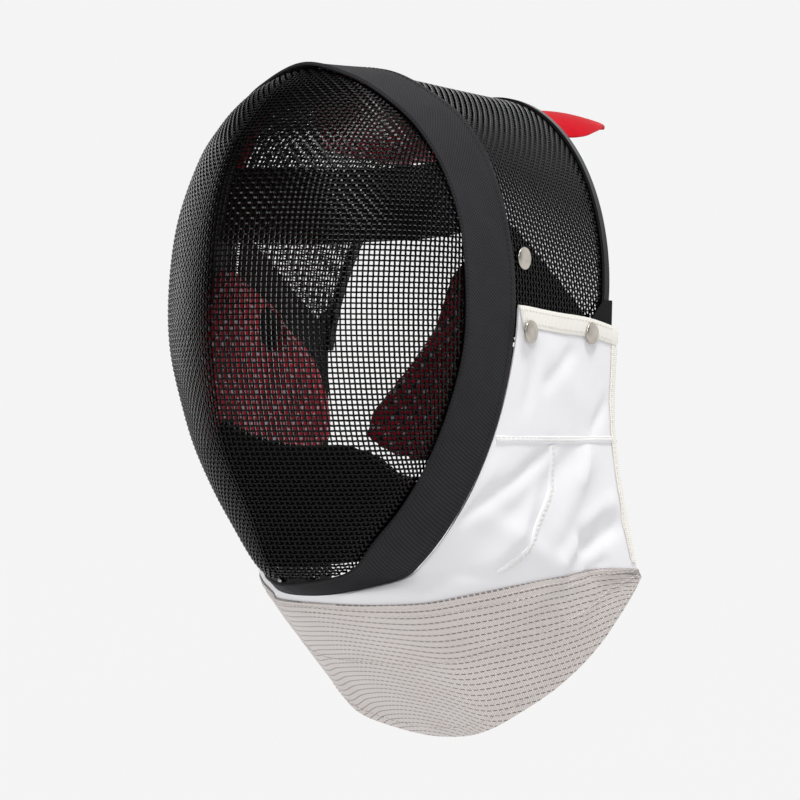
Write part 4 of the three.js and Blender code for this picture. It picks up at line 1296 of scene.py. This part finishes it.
# Black gussets inside the crown mesh and the tabs over the lower ends of the rim.
for side, word in ((1, "left"), (-1, "right")):
    grid = []
    for u in np.linspace(0, 1, 33):
        back = mix(GUSSET_FRONT, GUSSET_REAR, u)
        top_edge = mix(GUSSET_TOP_FRONT, GUSSET_TOP_REAR, u)
        line = []
        for v in np.linspace(0, 1, 17):
            edge, rear = crown_line(side * mix(GUSSET_FOOT, top_edge, v))
            line.append(edge + (rear - edge) * (back - 1 / 6) / (5 / 6))
        grid.append(line)
    grid = np.array(grid)
    made = layer(f"gusset_{word}", grid, GUSSET_TOP, GUSSET_UNDER, black_cloth)
    stands_for(f"side_gusset_{word}")

    corners = np.array([[0, y * FACE_DEPTH, z * FACE_HEIGHT] for y, z in TAB])
    ring = []
    for n in range(5):
        before, here, after = corners[n - 1], corners[n], corners[(n + 1) % 5]
        ring += [mix(here, before, 0.12), mix(here, before, 0.04)]
        ring += [mix(here, after, 0.04), mix(here, after, 0.12)]
    ring = np.array(ring)
    low, high = ring.copy(), ring.copy()
    low[:, 0], high[:, 0] = side * TAB_INSIDE, side * (TAB_INSIDE + TAB_CLOTH)
    middle = ring.mean(0)
    inner_low, inner_high = mix(middle, low, 0.85), mix(middle, high, 0.85)
    inner_low[:, 0] = side * (TAB_INSIDE - 0.1)
    inner_high[:, 0] = side * (TAB_INSIDE + TAB_CLOTH + 0.1)
    count = len(ring)
    points = np.concatenate([low, high, inner_low, inner_high])
    tab_faces = []
    for n in range(count):
        m = (n + 1) % count
        tab_faces.append([n, m, m + count, n + count])
        tab_faces.append([m, n, n + 2 * count, m + 2 * count])
        tab_faces.append([n + count, m + count, m + 3 * count, n + 3 * count])
    tab_faces.append([n + 2 * count for n in range(count)])
    tab_faces.append([n + 3 * count for n in range(count)])
    tab = faced_out(object_of(f"tab_{word}", place(points), tab_faces))
    finished(tab, black_cloth, 40)
    stands_for(f"strap_tab_{word}")


# Domed caps of the rivets and snaps, pressed from disc with a rolled edge.
def pressed_cap(name, source):
    low, high = (Vector(c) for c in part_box(source))
    side = 1 if low.x > 0 else -1
    foot = Vector((low.x if side > 0 else high.x, (low.y + high.y) / 2, (low.z + high.z) / 2))
    thick = CAP_HEIGHT * MM
    bpy.ops.object.select_all(action="DESELECT")
    bpy.ops.mesh.primitive_cylinder_add(
        vertices=40,
        radius=CAP_DIAMETER / 2 * MM,
        depth=0.45 * thick,
        location=(0, 0, 0.225 * thick),
    )
    made = bpy.context.object
    made.name = name
    bpy.ops.object.mode_set(mode="EDIT")
    bpy.ops.mesh.select_all(action="DESELECT")
    bpy.ops.object.mode_set(mode="OBJECT")
    for polygon in made.data.polygons:
        polygon.select = polygon.normal.z > 0.9
    bpy.ops.object.mode_set(mode="EDIT")
    for inset, rise in ((0.7, 0.16), (1.3, 0.17), (1.8, 0.12), (1.6, 0.06)):
        bpy.ops.mesh.inset(thickness=inset * MM)
        bpy.ops.transform.translate(value=(0, 0, rise * thick))
    bpy.ops.object.mode_set(mode="OBJECT")
    rolled = {"width": 0.35 * MM, "segments": 3}
    rolled |= {"limit_method": "ANGLE", "angle_limit": math.radians(50)}
    applied(made, "rolled_edge", "BEVEL", **rolled)
    made.rotation_euler = (0, side * math.pi / 2, 0)
    made.location = foot
    bpy.ops.object.transform_apply(location=True, rotation=True, scale=True)
    finished(made, satin_nickel, 50)
    stands_for(source)


for kind in ("rivet", "snap_front", "snap_rear"):
    for word in ("left", "right"):
        pressed_cap(f"{kind}_cap_{word}", f"{kind}_{word}")

# Studio: pale paper that lies flat and curves up behind, soft lights, camera at the mask's height.
FLOOR = cad_box[0][2] - 0.002
SWEEP = 1.6
PAPER_FRONT, PAPER_BACK, PAPER_TOP, PAPER_HALF = -4, 3, 7, 9
paper = [(PAPER_FRONT, 0), (PAPER_BACK, 0)]
for n in range(1, 13):
    bend = n / 12 * math.pi / 2
    paper.append((PAPER_BACK + SWEEP * math.sin(bend), SWEEP * (1 - math.cos(bend))))
paper.append((PAPER_BACK + SWEEP, PAPER_TOP))
points = [(x, y, FLOOR + z) for x in (-PAPER_HALF, PAPER_HALF) for y, z in paper]
count = len(paper)
sheet = [(n, n + count, n + count + 1, n + 1) for n in range(count - 1)]
floor = object_of("paper_floor", points, sheet)
bpy.ops.object.shade_smooth()
floor.data.materials.append(pale_paper)

world = bpy.data.worlds.new("soft_room")
bpy.context.scene.world = world
world.use_nodes = True
room = world.node_tree
backing = room.nodes["Background"]
backing.inputs[0].default_value = (1, 1, 1, 1)
backing.inputs[1].default_value = 0.91
dim = node(room, "Background", {1: 0.25})
seen = node(room, "LightPath")
both = node(room, "MixShader", {0: seen, 1: dim, 2: backing.outputs[0]})
room.links.new(both, room.nodes["World Output"].inputs[0])


def aimed(name, data, where, aim):
    """A lamp or camera at a place, turned to a point."""
    made = bpy.data.objects.new(name, data)
    made.location = where
    made.rotation_euler = (Vector(aim) - Vector(where)).to_track_quat("-Z", "Y").to_euler()
    bpy.context.scene.collection.objects.link(made)
    return made


def soft_light(name, where, aim, size, power):
    lamp = bpy.data.lights.new(name, "AREA")
    lamp.shape = "DISK"
    lamp.size = size
    lamp.energy = power
    aimed(name, lamp, where, aim)


MIDDLE = (0, 0, -0.12)
soft_light("left_rear", (-1.7, 0.1, 0.3), MIDDLE, 1.3, 9)
soft_light("front_high", (0.9, -1.5, 0.9), MIDDLE, 0.6, 11)
soft_light("right_high", (0.75, -0.35, 1.5), MIDDLE, 0.5, 21)
soft_light("top", (0.2, 0.5, 1.7), MIDDLE, 1.0, 4.5)
soft_light("behind", (-0.5, 1.7, 0.4), MIDDLE, 1.2, 3.5)

view = bpy.data.cameras.new("camera")
view.lens = 90.5
view.sensor_width = 36
view.clip_start = 0.01
eye = aimed("camera", view, (0.7606, -0.999, -0.1486), (0.0384, -0.0407, -0.1486))
bpy.context.scene.camera = eye
bpy.context.scene.view_settings.view_transform = "Standard"
